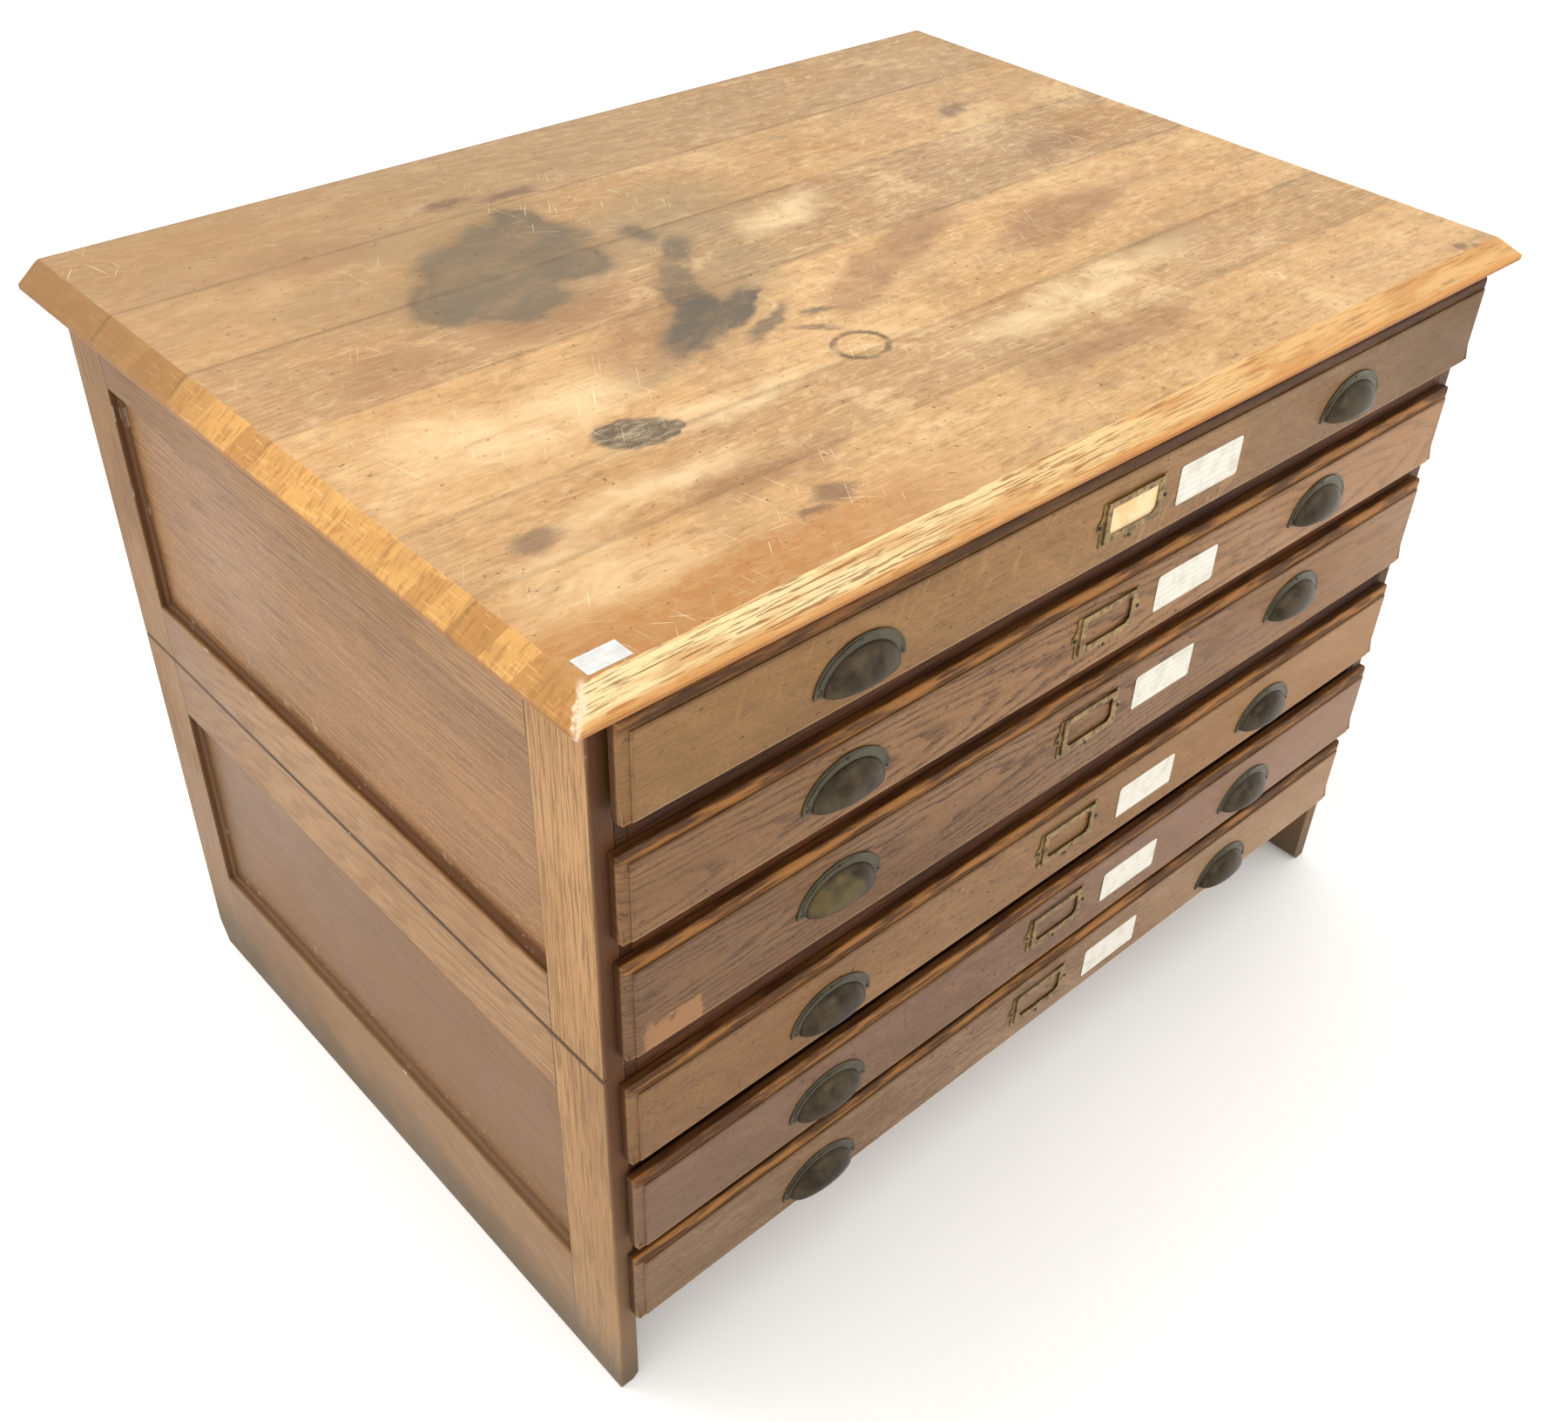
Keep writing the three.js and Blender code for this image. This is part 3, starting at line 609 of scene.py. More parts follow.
def back_oak(index):
    """Browner upright boards, soiled near the floor."""
    g = Graph(f"oak_back_{index}")
    space = grain_space(g, "Z", (index * 3.3, index * 1.1, 0))
    oak = Oak(rgb(70, 46, 28), rgb(126, 90, 58), rgb(146, 108, 72), pith=0.1 * index, depth=0.08,
              slope=0.03, rings=230, figure=0.55)
    height = oak_layers(g, space, oak)
    darkening = g.grain(g.place(), (7, 7, 5), 5, 0.6)
    g.fade(darkening, 0.48, 0.72, 0.34, rgb(96, 70, 46))
    g.paint(g.edge(0.003) * 0.4, rgb(62, 40, 24))
    paint_floor_dirt(g)
    return g.surface(g.span(darkening, 0.3, 0.7, 0.6, 0.76), height, 0.25)


BACK_FINISHES = [back_oak(index) for index in range(3)]


def inner_wood(name, along, seed, pale):
    """Unfinished pale wood of the drawer boxes, dusty and browner where it is handled."""
    g = Graph(f"inner_wood_{name}")
    space = grain_space(g, along, (seed, seed, 0))
    oak = Oak(rgb(120, 84, 48), rgb(168, 130, 84), pale, pith=0.5, depth=0.2, slope=0.02, rings=190,
              figure=0.3, fibre=0.3)
    height = oak_layers(g, space, oak)
    darkening = g.grain(g.place(), (4, 4, 9), 4, 0.6)
    g.fade(darkening, 0.5, 0.72, 0.5, rgb(112, 82, 52))
    g.paint(g.edge(0.002) * 0.3, rgb(104, 74, 46))
    return g.surface(g.span(darkening, 0.3, 0.7, 0.62, 0.78), height, 0.2)


# ------------ the drawer fronts' material

# Each front's dark, middle and light tones, and how its board was cut.
FRONT_BOARDS = {
    1: ((92, 56, 26), (134, 98, 58), (154, 116, 72),
        dict(pith=0.35, depth=0.1, slope=0.01, rings=220, warp=0.003,
             figure=0.22, fibre=0.28, flecks=0.5)),
    2: ((62, 34, 16), (130, 94, 60), (152, 112, 74),
        dict(pith=-0.012, depth=0.062, slope=0.05, rings=205, warp=0.008, ripple=0.004,
             figure=1, fibre=0.2)),
    3: ((62, 36, 18), (116, 84, 55), (138, 102, 68),
        dict(pith=0.006, depth=0.046, slope=0.045, rings=175, warp=0.01, ripple=0.009,
             figure=1, fibre=0.2)),
    4: ((80, 50, 26), (128, 92, 57), (148, 110, 70),
        dict(pith=0.25, depth=0.1, slope=0.02, rings=220, warp=0.004,
             figure=0.3, fibre=0.32, flecks=0.25)),
    5: ((74, 48, 32), (120, 90, 68), (136, 104, 80),
        dict(pith=0.3, depth=0.1, slope=0.02, rings=200, warp=0.004, figure=0.22, fibre=0.32)),
    6: ((66, 44, 28), (130, 100, 72), (154, 122, 90),
        dict(pith=0.1, depth=0.04, slope=0.03, rings=230, warp=0.006, ripple=0.002, figure=0.7)),
}
FIGURED = (2, 3)  # the fronts with a strong figure
CHIPPED = 3  # the front with a bare patch at its lower left corner
BORDER = 9.8 * MM


def front_oak(number):
    """A front's own board, with smears, grit, a gold-brown top moulding, painted light and shade along it,
    painted shade inside the moulding and at the lip's rear, and rubbed edges.
    """
    g = Graph(f"oak_front_{number}")
    low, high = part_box(f"drawer_{number}_front")
    place = g.place()
    x, y, z = g.split(place)
    seed = number * 3.7
    space = g.moved(g.join(x, z, y), (seed, 0, seed))
    *tones, cut = FRONT_BOARDS[number]
    dark, mid, light = (rgb(*tone) for tone in tones)
    oak = Oak(dark, mid, light, **cut)
    oak.depth -= seed * oak.slope
    height = oak_layers(g, space, oak, (low[2] + high[2]) / 2)
    patch = g.noise(g.moved(g.scaled(place, (4, 6, 9)), (seed, 0, 0)), 1, 5, 0.6)
    g.fade(patch, 0.48, 0.72, 0.4, shade(mid, 0.72))
    slanted = g.turned(place, -28, "Y_AXIS")
    smear = g.noise(g.moved(g.scaled(slanted, (12, 40, 48)), (seed, seed, 0)), 1, 5, 0.7, 0.5)
    smeared = 0.14 if number in FIGURED else 0.34
    g.fade(smear, 0.52, 0.64, smeared, shade(mid, 0.6))
    g.fade(smear, 0.46, 0.34, smeared, shade(light, 1.22))
    grit = g.grain(place, (260, 260, 420), 3, 0.7)
    g.fade(grit, 0.54, 0.66, 0.36, shade(light, 1.25))
    g.fade(grit, 0.46, 0.34, 0.4, shade(mid, 0.62))
    g.fade(g.grain(place, (130, 130, 220), 2, 0.4), 0.66, 0.73, 0.75, shade(dark, 0.45))
    # Painted light: the right end is lighter; on front 1 it is painted darker instead, as the shadow of the
    # top's overhang.
    g.fade(x, -0.1, 0.55, 0.5, shade(mid, 0.22) if number == 1 else shade(light, 1.32))
    # Painted shade: the left end is darker.
    g.fade(x, 0, -0.55, 0.42, shade(mid, 0.72))
    if number == CHIPPED:
        worn = g.blob(g.warped(place, 40, 0.05, 4), low[0] + 0.05, 0, 0.034, 9)
        bottom = g.span(z - low[2] + g.noise(place, 90, 4) * -0.04, 0.012, 0.004)
        g.paint(g.span(worn, 1, 0.8, 0, 0.85) * bottom, rgb(156, 112, 72))
    from_top = high[2] - z
    from_side = g.least(x - low[0], high[0] - x)
    border = g.least(from_top, from_side)
    moulding = g.span(border, BORDER, BORDER - 0.001) * (y - low[1] > 0.0003)
    streak = g.grain(place, (14, 120, 150), 4, 0.6)
    gold = g.mix(g.span(streak, 0.42, 0.62), rgb(72, 41, 16), rgb(154, 102, 46))
    # Front 1's top moulding is painted darker, most over its right half, as the shadow under the top's
    # overhang.
    if number == 1:
        gold = g.mix(g.span(x, -0.5, 0, 0.35, 0.85), gold, rgb(58, 32, 16))
    g.paint(moulding * g.span(from_top, 0.012, 0.006, 0.08, 0.9), gold)
    # Painted shade: a dark line on the face just inside the moulding, under its small step, deepest along
    # the top.
    darkening = g.span(border, 0.0135, 0.0092) * (border > 0.0085)
    g.paint(darkening * g.span(from_top, 0.02, 0.012, 0.2, 0.55), rgb(60, 34, 16))
    low_line = g.span(z - low[2], 0.0022, 0.001) * g.span(from_side, 0, 0.01)
    g.paint(low_line * 0.5, rgb(214, 176, 132))
    g.paint(g.edge(0.002) * g.span(g.noise(place, 24, 3), 0.35, 0.6, 0.1, 0.5), rgb(200, 156, 104))
    # Painted shade on the rear part of the lip's edges, its back and the tongue, where they sit in the gap
    # against the carcass.
    g.fade(y, high[1] - 0.0175, high[1] - 0.0155, 0.75, rgb(62, 34, 16))
    return g.surface(g.span(patch, 0.3, 0.7, 0.36, 0.52), height, 0.22)


# ------------ metal and paper


def bronze(name, seed, green, brassy, pale=0):
    """Dark patinated bronze, with green in the hollows and bare metal on the high spots."""
    g = Graph(f"bronze_{name}")
    place = g.moved(g.place(), (seed, seed, seed))
    cloud = g.noise(place, 38, 5, 0.65)
    fine = g.noise(place, 420, 3, 0.6)
    g.colour = g.mix(g.span(cloud, 0.35, 0.65), rgb(50, 42, 33), rgb(76, 66, 52))
    if pale:
        g.paint(g.span(cloud, 0.3, 0.6, 0.5, pale), rgb(84, 80, 66))
    g.fade(g.noise(place, 60, 3), 0.54, 0.7, green * 0.6, rgb(84, 86, 68))
    g.fade(g.noise(place, 30, 2), 0.45, 0.65, brassy * 0.7, rgb(108, 94, 56))
    g.paint(g.edge(0.0015, 0.05, 0.4) * 0.35, rgb(140, 128, 98))
    g.fade(fine, 0.62, 0.74, 0.5, rgb(38, 32, 24))
    return g.surface(g.span(cloud, 0.3, 0.7, 0.26, 0.42), fine, 0.1, metallic=0.9)


def aged_brass():
    """Card frames' brass, tarnished in patches."""
    g = Graph("aged_brass")
    place = g.place()
    cloud = g.noise(place, 45, 4, 0.6)
    g.colour = g.mix(g.span(cloud, 0.38, 0.62), rgb(122, 98, 60), rgb(160, 134, 88))
    tarnish = g.noise(place, 160, 3, 0.6)
    g.fade(tarnish, 0.5, 0.64, 0.8, rgb(70, 52, 32))
    g.paint(g.edge(0.0008, 0.05, 0.4) * 0.4, rgb(206, 186, 136))
    return g.surface(g.span(cloud, 0.3, 0.7, 0.32, 0.5), tarnish, 0.1, metallic=0.8)


def dark_pin():
    """Dull dark metal of pins and screws."""
    g = Graph("pin_metal")
    cloud = g.noise(g.place(), 300, 3, 0.6)
    g.colour = g.mix(g.span(cloud, 0.4, 0.65), rgb(34, 28, 22), rgb(86, 74, 54))
    return g.surface(g.span(cloud, 0.3, 0.7, 0.4, 0.6), cloud, 0.1, metallic=0.7)


def paper(name, tone, soiled, ruled=0, axis=2):
    """Matt paper with fibres, a little soiling and, on a label, faint printed rules."""
    g = Graph(f"paper_{name}")
    place = g.place()
    fibres = g.noise(place, 900, 3, 0.7)
    soil = g.noise(place, 55, 4, 0.6)
    g.colour = g.mix(g.span(soil, 0.45, 0.7, 0, 0.6), tone, soiled)
    if ruled:
        up = g.split(place)[axis]
        wave = g.math("PINGPONG", up + soil * 0.0006, 0.0035)
        g.fade(wave, 0.0005, 0.0001, ruled, rgb(168, 176, 190))
    return g.surface(g.span(fibres, 0.3, 0.7, 0.78, 0.9), fibres + soil, 0.08)


# ------------ meshes


def build(name, points, faces, finish, body="cabinet", slot=None, smooth=False, stands_for=()):
    """A named mesh in frame coordinates that rides on a body."""
    data = bpy.data.meshes.new(name)
    data.from_pydata(points, [], faces)
    data.update()
    data.materials.append(finish)
    data.polygons.foreach_set("use_smooth", [smooth] * len(data.polygons))
    piece = bpy.data.objects.new(name, data)
    SCENE.collection.objects.link(piece)
    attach(piece, body)
    if stands_for:
        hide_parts(*stands_for)
    return piece


def face_out(piece, sharp=None):
    """Turns every face of a closed mesh outwards, and keeps edges over an angle sharp."""
    mesh = bmesh.new()
    mesh.from_mesh(piece.data)
    bmesh.ops.recalc_face_normals(mesh, faces=mesh.faces)
    mesh.to_mesh(piece.data)
    mesh.free()
    if sharp:
        piece.data.set_sharp_from_angle(angle=math.radians(sharp))


def weld(piece, reach):
    """Joins a piece's points that lie within reach."""
    piece.modifiers.new("weld", "WELD").merge_threshold = reach


def weight_normals(piece):
    """Shades faces by their size, so that large flat ones stay flat."""
    piece.modifiers.new("weighted", "WEIGHTED_NORMAL").keep_sharp = True


def soften(piece, width, angle=35):
    """Rounds a piece's sharp edges slightly."""
    modifier = piece.modifiers.new("bevel", "BEVEL")
    modifier.width, modifier.segments = width, 2
    modifier.limit_method, modifier.angle_limit = "ANGLE", math.radians(angle)
    modifier.harden_normals = False
    weight_normals(piece)


def between(a, b, share):
    return a + (b - a) * share


def outline(corners, counts):
    """Points round a closed outline, evenly spaced along each side."""
    points = []
    for start, end, count in zip(corners, corners[1:] + corners[:1], counts):
        points += [tuple(between(a, b, i / count) for a, b in zip(start, end)) for i in range(count)]
    return points


def loft(rings, looped=False):
    """Points and faces of a skin over rings of equal length, capped at both ends or looped round."""
    points = [point for ring in rings for point in ring]
    count, total = len(rings[0]), len(points)
    faces = []
    for row in range(len(rings) - (not looped)):
        for column in range(count):
            a = row * count + column
            b = row * count + (column + 1) % count
            faces.append((a, b, (b + count) % total, (a + count) % total))
    if not looped:
        faces += [tuple(range(count - 1, -1, -1)), tuple(range(total - count, total))]
    return points, faces


def quads(rows, columns, start=0):
    """The cells between points that are laid out in rows."""
    count = columns + 1
    for row in range(rows):
        for column in range(columns):
            a = start + row * count + column
            yield a, a + 1, a + count + 1, a + count


def sheet(name, points, rows, columns, finish, body="cabinet"):
    """A thin closed piece of paper between two layers of points."""
    half, count = len(points) // 2, columns + 1
    faces = []
    for a, b, c, d in quads(rows, columns):
        faces += [(a, d, c, b), (half + a, half + b, half + c, half + d)]
    border = [row * count for row in range(rows + 1)]
    border += [rows * count + column for column in range(1, count)]
    border += [row * count + columns for row in range(rows - 1, -1, -1)]
    border += range(columns - 1, 0, -1)
    for a, b in zip(border, border[1:] + border[:1]):
        faces.append((a, half + a, half + b, b))
    face_out(build(name, points, faces, finish, body, "paper"))


def front_ring(low, high, side, bottom, top, y, columns=24):
    """A rectangle in x and z, set in from a box's sides, bottom and top."""
    x0, x1, z0, z1 = low[0] + side, high[0] - side, low[2] + bottom, high[2] - top
    return outline([(x0, y, z0), (x1, y, z0), (x1, y, z1), (x0, y, z1)], (columns, 4, columns, 4))


# The fronts' moulding, in millimetres: how far in from the edge, and how far behind the face.
LIP = 6
OVOLO = (
    (0, LIP), (0.8, 4.9), (2.2, 4), (4, 3.4), (6, 3), (7.9, 2.7), (8.7, 2.5), (8.9, 0.7),
    (9.2, 0.15), (9.9, 0),
)
LOW_EDGE, LOW_SINK = 0.9, 1.1  # the plain lower edge: its width, and how far its arris lies back
LIP_BACK = 9.5 * MM  # from the front's rear to the back of its lip
CHAMFER_IN, CHAMFER_OUT = 0.4 * MM, 0.5 * MM  # on the lip's rear edge
EASED = 0.5 * MM
NEAR = 1e-6


def moulded_front(number, finish):
    """A lipped front: a rounded border on three sides, a small step up to the face, and a tongue behind."""
    low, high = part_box(f"drawer_{number}_front")
    box_low, box_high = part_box(f"drawer_{number}_box")
    back, face = high[1] - LIP_BACK, low[1]
    rings = [front_ring(low, high, CHAMFER_IN, CHAMFER_IN, CHAMFER_IN, back),
             front_ring(low, high, 0, 0, 0, back - CHAMFER_OUT)]
    seed = number * 5.3
    for inset, sink in OVOLO:
        bottom = min(inset, LOW_EDGE) * MM
        low_sink = min(sink, LOW_SINK) if 0 < inset < 2 else sink
        ring = []
        for x, y, z in front_ring(low, high, inset * MM, bottom, inset * MM, face + sink * MM):
            if z - low[2] - bottom < NEAR:
                y = face + low_sink * MM
            wear = max(0, noise.noise((x * 9 + seed, z * 20, seed)) - 0.25) * 1.3 * MM
            ring.append((x, y + (wear if 0 < sink < LIP else 0), z))
        rings.append(ring)
    piece = build(f"front_{number}", *loft(rings), finish, f"drawer_{number}", "oak_front",
                  stands_for=[f"drawer_{number}_front"])
    face_out(piece)
    soften(piece, EASED, 28)
    tongue = [front_ring((box_low[0], 0, box_low[2]), (-box_low[0], 0, box_high[2]), 0, 0, 0, y, 2)
              for y in (back - 0.2 * MM, high[1])]
    piece = build(f"front_{number}_tongue", *loft(tongue), finish, f"drawer_{number}", "oak_front")
    face_out(piece)
    soften(piece, EASED)


# The top's edge, in millimetres: how far in from the outline and how high over the underside.
TOP_EDGE = ((3.2, 0), (1.4, 0.5), (0.5, 1.4), (0.05, 3), (0, 5), (0, 6.6), (0.5, 7.6), (1.8, 8.5))
BEVEL_STEPS = 6
UPPER_ARRIS, LOWER_ARRIS, ARRIS_REACH = 23.7 * MM, 1.4 * MM, 1.6 * MM
DENT, FINE_DENT, MITRE_LOSS = 3.2 * MM, 1.6 * MM, 1.3 * MM
MITRE_REACH = 5 * MM
REAR_UNDERCUT = 1 * MM
TOP_ACROSS, TOP_ALONG = 96, 56


def top_profile(low, surface):
    """The section of the top's left, front and right edges: inset and height."""
    profile = [(inset * MM, low + up * MM) for inset, up in TOP_EDGE]
    start, end = profile[-1], (22.2 * MM, surface - 0.25 * MM)
    for step in range(1, BEVEL_STEPS):
        profile.append(tuple(between(a, b, step / BEVEL_STEPS) for a, b in zip(start, end)))
    profile += [(22.6 * MM, surface - 0.5 * MM), (UPPER_ARRIS, surface - 0.12 * MM), (25.5 * MM, surface)]
    return profile


def top_wear(x, y, z, inset):
    """The depth of wood lost on the top's edge: dents along the arrises, and a worn front left mitre."""
    dent = max(0, noise.noise((x * 21, y * 21, 3.1)) - 0.3) * DENT
    fine = max(0, noise.noise((x * 90, y * 90, 7.7)) - 0.3) * FINE_DENT
    arris = sum(math.exp(-((inset - at) / ARRIS_REACH) ** 2) for at in (UPPER_ARRIS, LOWER_ARRIS))
    corner = math.hypot(x - TOP_LOW[0] - inset, y - TOP_LOW[1] - inset)
    mitre = math.exp(-(corner / MITRE_REACH) ** 2) * (0.5 + 0.5 * noise.noise((x * 160, y * 160, z * 160)))
    return (dent + fine) * arris * 0.6 + mitre * MITRE_LOSS


def detailed_top(finish):
    """The top board with a rounded worn edge, a worn front left mitre and small dents along its arrises."""
    low, high = TOP_LOW, TOP_HIGH
    rings = []
    for inset, z in top_profile(low[2], high[2] - 0.2 * MM):
        x0, x1, y0, y1 = low[0] + inset, high[0] - inset, low[1] + inset, high[1]
        if not rings:
            y1 -= REAR_UNDERCUT
        ring = []
        corners = [(x0, y1, z), (x0, y0, z), (x1, y0, z), (x1, y1, z)]
        for x, y, _ in outline(corners, (TOP_ALONG, TOP_ACROSS, TOP_ALONG, TOP_ACROSS)):
            drop = top_wear(x, y, z, inset)
            push_x = drop if x < x0 + NEAR else -drop if x > x1 - NEAR else 0
            push_y = drop if y < y0 + NEAR else 0
            sink = drop * 0.7 if z > low[2] + 4 * MM else 0
            ring.append((x + push_x * 0.5, y + push_y * 0.5, z - sink))
        rings.append(ring)
    piece = build("top", *loft(rings), finish, "cabinet", "oak_top", stands_for=["top_board"])
    face_out(piece)
    weight_normals(piece)
    piece.data.polygons.foreach_set("use_smooth", [len(p.vertices) == 4 for p in piece.data.polygons])
    piece.data.set_sharp_from_angle(angle=math.radians(38))


# The pulls, in millimetres: the hood's half width, height and depth, its wall and its lip's least depth.
PULL_TIP, PULL_RISE, PULL_OUT = 41, 31.5, 16
PULL_WALL, PULL_LIP = 1.7, 0.6
PULL_PLAN = 0.75  # how blunt the hood is towards its tips
HOOD_ROWS, HOOD_COLUMNS = 14, 40
FLANGE_STEPS = 48
# The flange's section: how far out from the hood's outline, and y, which is negative forwards.
FLANGE = (
    (-0.8, -0.2), (-0.8, -2.2), (0.6, -2.6), (2.2, -1.7), (5.2, -1.5), (7.4, -1.7), (8.3, -2), (9, -1.4),
    (9, -0.2),
)
# The round lobes at the tips, and the pins: place, radius and height.
PULL_ROUNDS = (
    ("lobe_l", (-45.4, 0, 4.5), 4.4, 2.1), ("pin_l", (-45.4, -1.9, 4), 1.6, 0.75),
    ("lobe_r", (45.4, 0, 4.5), 4.4, 2.1), ("pin_r", (45.4, -1.9, 4), 1.6, 0.75),
    ("pin_top", (-2, -1.4, 36.5), 1.6, 0.8),
)


def hood_points(shrink):
    """A quarter of an ellipsoid: u runs from tip to tip over the cup, v from the flange out to the lip."""
    for row in range(HOOD_ROWS + 1):
        v = (math.pi / 2) * row / HOOD_ROWS
        for column in range(HOOD_COLUMNS + 1):
            u = math.pi * column / HOOD_COLUMNS
            across = max(math.sin(u), 0)
            out = -(PULL_OUT - shrink) * across ** PULL_PLAN * math.sin(v)
            if row and not shrink:
                out = min(out, -PULL_LIP)
            up = max((PULL_RISE - shrink) * across * math.cos(v), 0)
            yield (PULL_TIP - shrink) * math.cos(u), out, up


def cup_pull(number, side, finish, flange_finish, pin):
    """A cast cup: a beaded flange, a domed hood open below, rounded tips with pins."""
    low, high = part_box(f"drawer_{number}_pull_{side}")
    middle = (low[0] + high[0]) / 2
    name, body = f"pull_{number}_{side}", f"drawer_{number}"

    def place(point):
        return (middle + point[0] * MM, high[1] + point[1] * MM, low[2] + point[2] * MM)

    points = [place(point) for shrink in (0, PULL_WALL) for point in hood_points(shrink)]
    inner = len(points) // 2
    faces = list(quads(HOOD_ROWS, HOOD_COLUMNS))
    faces += [quad[::-1] for quad in quads(HOOD_ROWS, HOOD_COLUMNS, inner)]
    lip = HOOD_ROWS * (HOOD_COLUMNS + 1)
    faces += [(a, a + 1, inner + a + 1, inner + a) for a in range(lip, lip + HOOD_COLUMNS)]
    piece = build(name, points, faces, finish, body, "bronze", True, [f"drawer_{number}_pull_{side}"])
    weld(piece, 0.1 * MM)
    rings = []
    for step in range(FLANGE_STEPS + 1):
        u = math.pi * step / FLANGE_STEPS
        ring = [((PULL_TIP + out) * math.cos(u), y, (PULL_RISE + out) * math.sin(u)) for out, y in FLANGE]
        rings.append([place(point) for point in ring])
    face_out(build(f"{name}_flange", *loft(rings), flange_finish, body, "bronze", True), 50)
    for part, centre, radius, depth in PULL_ROUNDS:
        metal = flange_finish if part.startswith("lobe") else pin
        disc(f"{name}_{part}", place(centre), radius * MM, depth * MM, metal, body, "bronze")


def arc(centre, radius, forward, bearings):
    """Points at a radius round a centre on a front, some way forward of it."""
    x, y, z = centre
    return [(x + radius * math.cos(turn), y - forward, z + radius * math.sin(turn)) for turn in bearings]


# A pin's and a screw's section: in from the rim, and forward, as shares of radius and height.
DOMED = ((0, 0), (0, 0.75), (0.12, 0.9125), (0.35, 0.975), (0.75, 1))
FLAT = ((0, 0), (0, 0.7), (0.1, 1))
PIN_SIDES, SCREW_SIDES = 20, 14
SLOT_WIDTH, SLOT_TURN = 0.14, math.radians(25)


def disc(name, centre, radius, depth, finish, body, slot):
    """A low round head that faces forwards, rounded at its edge and a little domed."""
    bearings = [2 * math.pi * i / PIN_SIDES for i in range(PIN_SIDES)]
    rings = [arc(centre, radius * (1 - inset), depth * forward, bearings) for inset, forward in DOMED]
    face_out(build(name, *loft(rings), finish, body, slot, True), 60)


def slotted_screw(name, centre, radius, depth, finish, body, slot):
    """A screw head cut by a slot: two half discs with a gap between them over a sunk middle."""
    start = math.asin(SLOT_WIDTH)
    points, faces = [], []
    for half in (-1, 1):
        bearings = [SLOT_TURN + half * between(start, math.pi - start, i / SCREW_SIDES)
                    for i in range(SCREW_SIDES + 1)]
        part, part_faces = loft([arc(centre, radius * (1 - inset), depth * forward, bearings)
                                 for inset, forward in FLAT])
        faces += [tuple(i + len(points) for i in face) for face in part_faces]
        points += part
    face_out(build(name, points, faces, finish, body, slot))
    disc(f"{name}_core", centre, radius * 0.96, depth * 0.4, finish, body, slot)


SHEET_COLUMNS, SHEET_ROWS, CORNER_STEPS = 18, 8, 5
CURL_START = 0.75  # of the way from a sheet's middle to its end


def rounded_sheet(name, x0, x1, z0, z1, y, thickness, corner, finish, body, seed, lift=0):
    """A sheet of paper on a front face, with rounded corners and slightly lifted ends."""
    xs = {between(x0, x1, i / SHEET_COLUMNS) for i in range(1, SHEET_COLUMNS)}
    for i in range(CORNER_STEPS + 1):
        reach = corner * (1 - math.cos(math.radians(90 * i / CORNER_STEPS)))
        xs |= {round(x0 + reach, 7), round(x1 - reach, 7)}
    xs = sorted(xs)
    points = []
    for layer in (thickness, 0):
        for x in xs:
            into = max(x0 + corner - x, x - x1 + corner, 0)
            cut = corner - math.sqrt(max(0, corner ** 2 - into ** 2))
            end = max(abs(x - (x0 + x1) / 2) / ((x1 - x0) / 2) - CURL_START, 0) / (1 - CURL_START)
            for row in range(SHEET_ROWS + 1):
                z = between(z0 + cut, z1 - cut, row / SHEET_ROWS)
                wave = noise.noise((x * 30 + seed, z * 45, seed)) * 0.5 + 0.5
                points.append((x, y - lift * (wave * 0.35 + end * end * 0.6) - layer, z))
    sheet(name, points, len(xs) - 1, SHEET_ROWS, finish, body)


BOARD_WIDTHS = (0.196, 0.171, 0.204, 0.188, 0.175, 0.204)
BOARD_GAP, BOARD_BEVEL = 0.2 * MM, 1.6 * MM


def grooved_back(unit, finishes):
    """A back of upright boards, each with softened edges."""
    low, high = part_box(f"{unit}_back")
    x = low[0]
    for index, width in enumerate(BOARD_WIDTHS):
        board = width / sum(BOARD_WIDTHS) * (high[0] - low[0])
        corners = ((x + BOARD_GAP, low[1]), (x + board - BOARD_GAP, low[1]),
                   (x + board - BOARD_GAP, high[1]), (x + BOARD_GAP, high[1]))
        rings = [[(*corner, z) for corner in corners] for z in (low[2], high[2])]
        piece = build(f"{unit}_back_board_{index + 1}", *loft(rings), finishes[index % len(finishes)],
                      slot="oak_panel", stands_for=() if index else [f"{unit}_back"])
        face_out(piece)
        soften(piece, BOARD_BEVEL)
        x += board


# A bead's section, in millimetres: how far over the panel, and how far out from it.
BEAD = ((0, 0), (0, 5), (1.6, 4.4), (3, 3), (3.7, 1.4), (3.8, 0))


def panel_bead(unit, side, finish):
    """A quarter-round bead that holds a panel in its frame, mitred at the corners."""
    low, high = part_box(f"{unit}_{side}_panel")
    face, out = (low[0], -1) if side == "left" else (high[0], 1)
    rings = []
    for inset, rise in BEAD:
        y0, y1 = low[1] + inset * MM, high[1] - inset * MM
        z0, z1 = low[2] + inset * MM, high[2] - inset * MM
        x = face + out * rise * MM
        rings.append([(x, y0, z0), (x, y1, z0), (x, y1, z1), (x, y0, z1)])
    face_out(build(f"{unit}_{side}_bead", *loft(rings, looped=True), finish, "cabinet", "oak_frame"), 60)


# ------------ putting it together


def finish_node(node, finish, width, angle=35):
    """Gives a CAD node its material and softens its edges."""
    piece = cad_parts[node]
    for slot in piece.material_slots:
        slot.material = finish
    weld(piece, 0.02 * MM)
    soften(piece, width, angle)


# How far each rail's painted shade is scaled: the upper unit's top rail, in the shadow under the top's
# overhang, is painted nearly black.
RAIL_SHADE_FACTORS = {
    "upper": {"rail_top": 0.08, "rail_a": 1.3, "rail_b": 1.4, "rail_bottom": 1.6},
    "lower": {"rail_top": 1.3, "rail_a": 0.9, "rail_b": 0.9, "rail_bottom": 0.8},
}


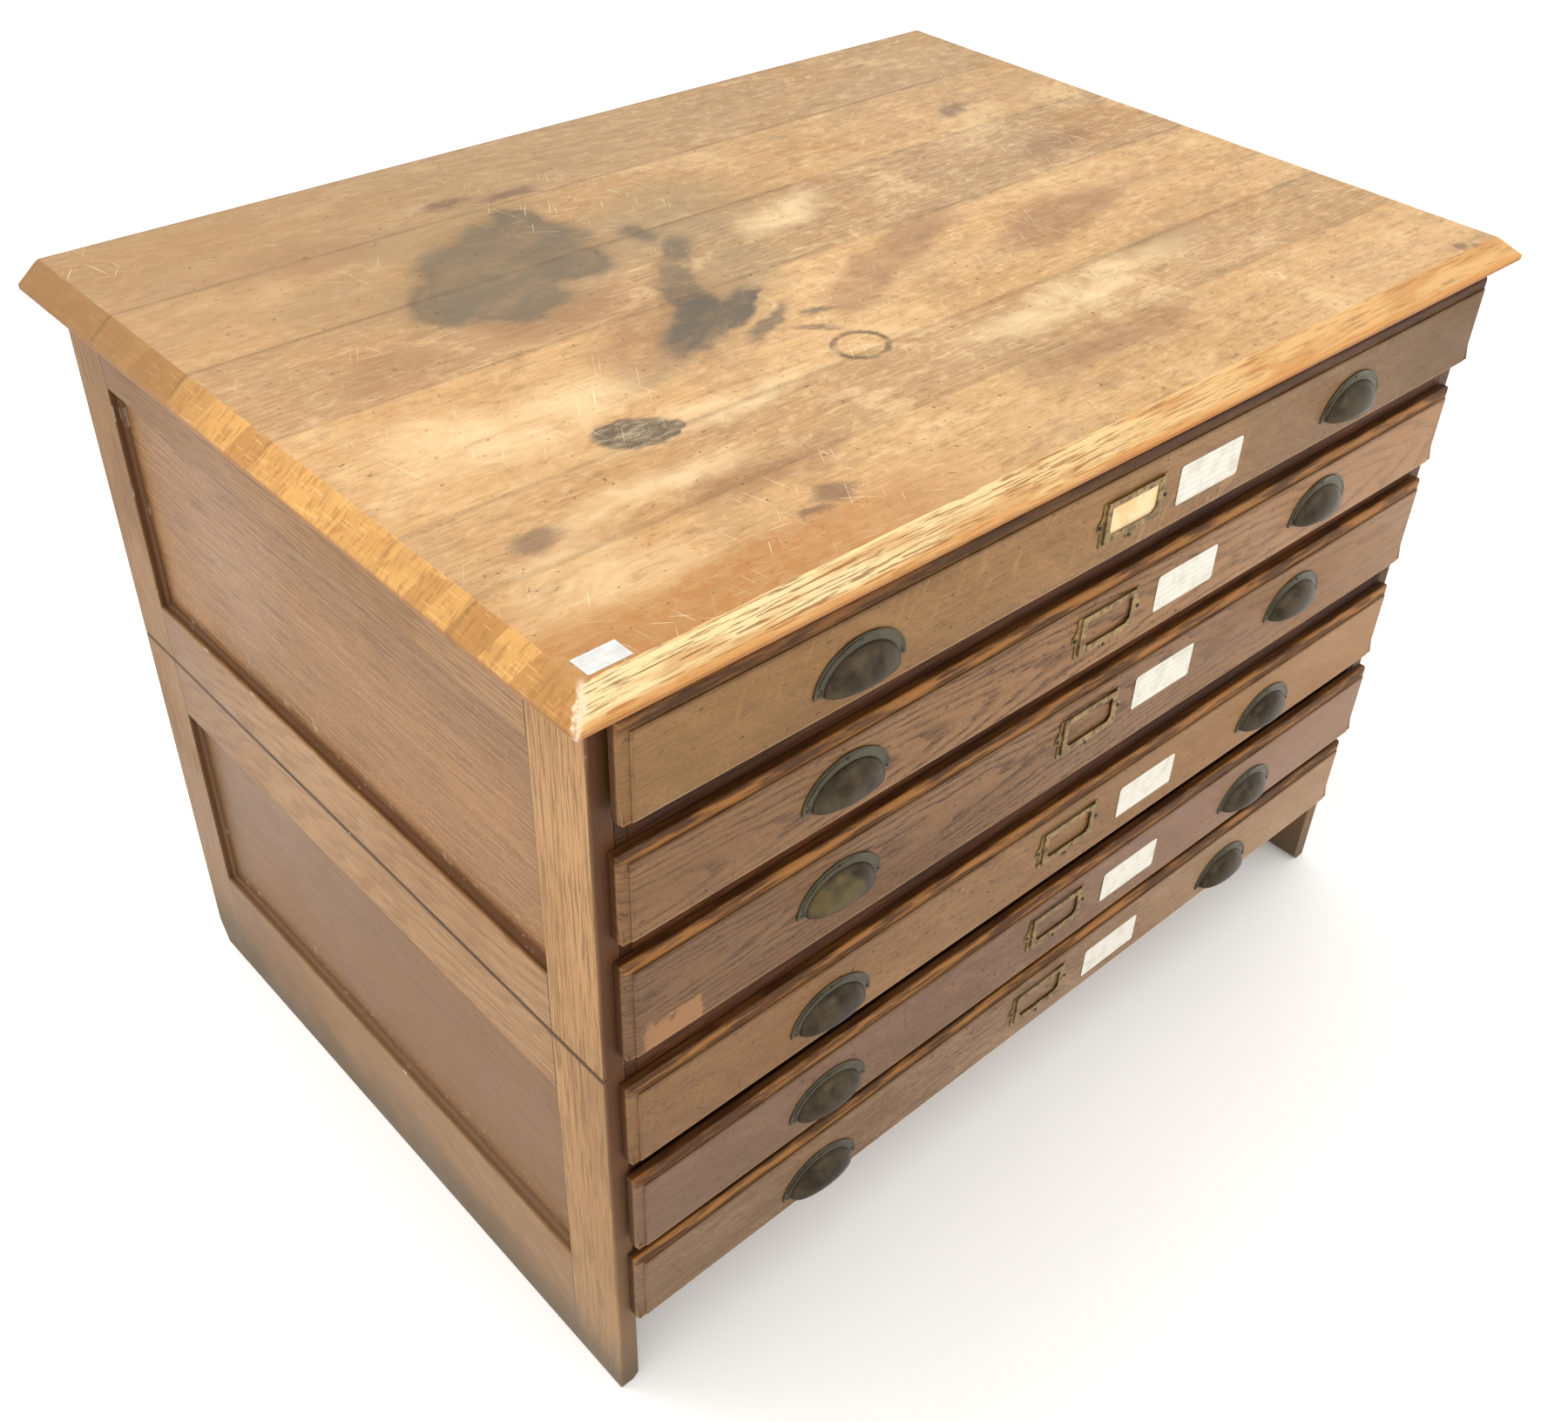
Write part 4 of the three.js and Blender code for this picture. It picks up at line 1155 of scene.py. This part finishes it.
def finish_carcass():
    """The top, the side frames with panels, beads and runners, the rails and the backs."""
    detailed_top(top_oak())
    for index, (unit, side) in enumerate((unit, side) for unit in UNITS for side in SIDES):
        frame_finish = frame_oak(unit, side, 1.3 + index * 2.9)
        finish_node(f"{unit}_{side}_frame", frame_finish, 1.2 * MM)
        finish_node(f"{unit}_{side}_panel", panel_oak(unit, side, 2 + index * 3.3), 0.8 * MM)
        finish_node(f"{unit}_{side}_runners", rail_oak(f"{unit}_{side}_runners", 4 + index, 0.3), 0.8 * MM)
        panel_bead(unit, side, frame_finish)
    for index, unit in enumerate(UNITS):
        for place, (rail, tone) in enumerate(RAIL_SHADE_FACTORS[unit].items()):
            low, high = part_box(f"{unit}_{rail}")
            finish = rail_oak(f"{unit}_{rail}", 2.2 * place + 7 * index, (low[2] + high[2]) / 2, tone)
            finish_node(f"{unit}_{rail}", finish, 1 * MM)
        grooved_back(unit, BACK_FINISHES)


PULL_RUBBED_BARE = (3, "left")
# The card in drawer 1's frame, and the screws: millimetres in from the frame's edges.
CARD_HALF, CARD_BOTTOM, CARD_TOP = 37.4, 10.2, 2
SCREW_IN, SCREW_DOWN, SCREW_UP = 3.6, 23.2, 3.4
# Each label's left end, and how far its lower edge lies below the middle of the front, in millimetres.
LABEL_LONG, LABEL_HIGH = 93, 41
LABEL_PLACES = {
    1: (53.5, 26.7), 2: (62, 23.8), 3: (58.6, 15.7), 4: (71.4, 27.3), 5: (67.7, 26.6), 6: (68, 31.1),
}
TICKET_LOW, TICKET_HIGH = (-0.5849, -0.403), (-0.5468, -0.3818)
TICKET_COLUMNS, TICKET_ROWS = 10, 4


def finish_drawers():
    """Fronts, boxes, pulls, card frames with their screws, and the printed labels."""
    pin = dark_pin()
    flange_finish = bronze("flange", 2, 0.85, 0.05, 1)
    card_brass = aged_brass()
    label = paper("label", rgb(224, 220, 208), rgb(198, 188, 168), ruled=0.6)
    card = paper("card", rgb(240, 211, 163), rgb(212, 176, 122))
    side_wood = inner_wood("sides", "Y", 1, rgb(196, 158, 108))
    floor_wood = inner_wood("bottoms", "X", 6, rgb(204, 172, 126))
    for number in DRAWERS:
        body = f"drawer_{number}"
        moulded_front(number, front_oak(number))
        finish_node(f"{body}_box", side_wood, 0.7 * MM)
        finish_node(f"{body}_bottom", floor_wood, 0.5 * MM)
        finish_node(f"{body}_card_frame", card_brass, 0.35 * MM, 30)
        for side in SIDES:
            brassy = 0.9 if (number, side) == PULL_RUBBED_BARE else 0.12
            seed = number * 1.7 + (side == "right") * 0.8
            cup_pull(number, side, bronze(f"{number}_{side}", seed, 0.12, brassy), flange_finish, pin)
        low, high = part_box(f"{body}_card_frame")
        middle, sides_z = (low[0] + high[0]) / 2, high[2] - SCREW_DOWN * MM
        screws = {"l": (low[0] + SCREW_IN * MM, sides_z), "r": (high[0] - SCREW_IN * MM, sides_z),
                  "b": (middle, low[2] + SCREW_UP * MM)}
        for name, (x, z) in screws.items():
            centre = (x, high[1] - 0.9 * MM, z)
            slotted_screw(f"card_screw_{number}_{name}", centre, 2.2 * MM, 0.8 * MM, pin, body, "brass")
        face = high[1] + 0.3 * MM
        if number == 1:
            x0, x1 = middle - CARD_HALF * MM, middle + CARD_HALF * MM
            z0, z1 = low[2] + CARD_BOTTOM * MM, high[2] - CARD_TOP * MM
            rounded_sheet("card_1", x0, x1, z0, z1, face - 0.8 * MM, 0.3 * MM, 0.6 * MM, card, body, 1)
        low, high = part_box(f"{body}_front")
        left, drop = LABEL_PLACES[number]
        x0, x1 = left * MM, (left + LABEL_LONG) * MM
        z0 = (low[2] + high[2]) / 2 - drop * MM
        rounded_sheet(f"label_{number}", x0, x1, z0, z0 + LABEL_HIGH * MM, face - 0.05 * MM, 0.15 * MM,
                      3.5 * MM, label, body, number * 2, lift=0.5 * MM)


def add_ticket():
    """A small blank paper ticket near the front left corner of the top."""
    finish = paper("ticket", rgb(204, 204, 202), rgb(182, 180, 174), ruled=0.5, axis=1)
    points = []
    for z in (TOP_HIGH[2] - 0.18 * MM, TOP_HIGH[2] - 0.02 * MM):
        for row in range(TICKET_ROWS + 1):
            y = between(TICKET_LOW[1], TICKET_HIGH[1], row / TICKET_ROWS)
            points += [(between(TICKET_LOW[0], TICKET_HIGH[0], column / TICKET_COLUMNS), y, z)
                       for column in range(TICKET_COLUMNS + 1)]
    sheet("ticket", points, TICKET_ROWS, TICKET_COLUMNS, finish)


make_camera()
make_surroundings()
finish_carcass()
finish_drawers()
add_ticket()
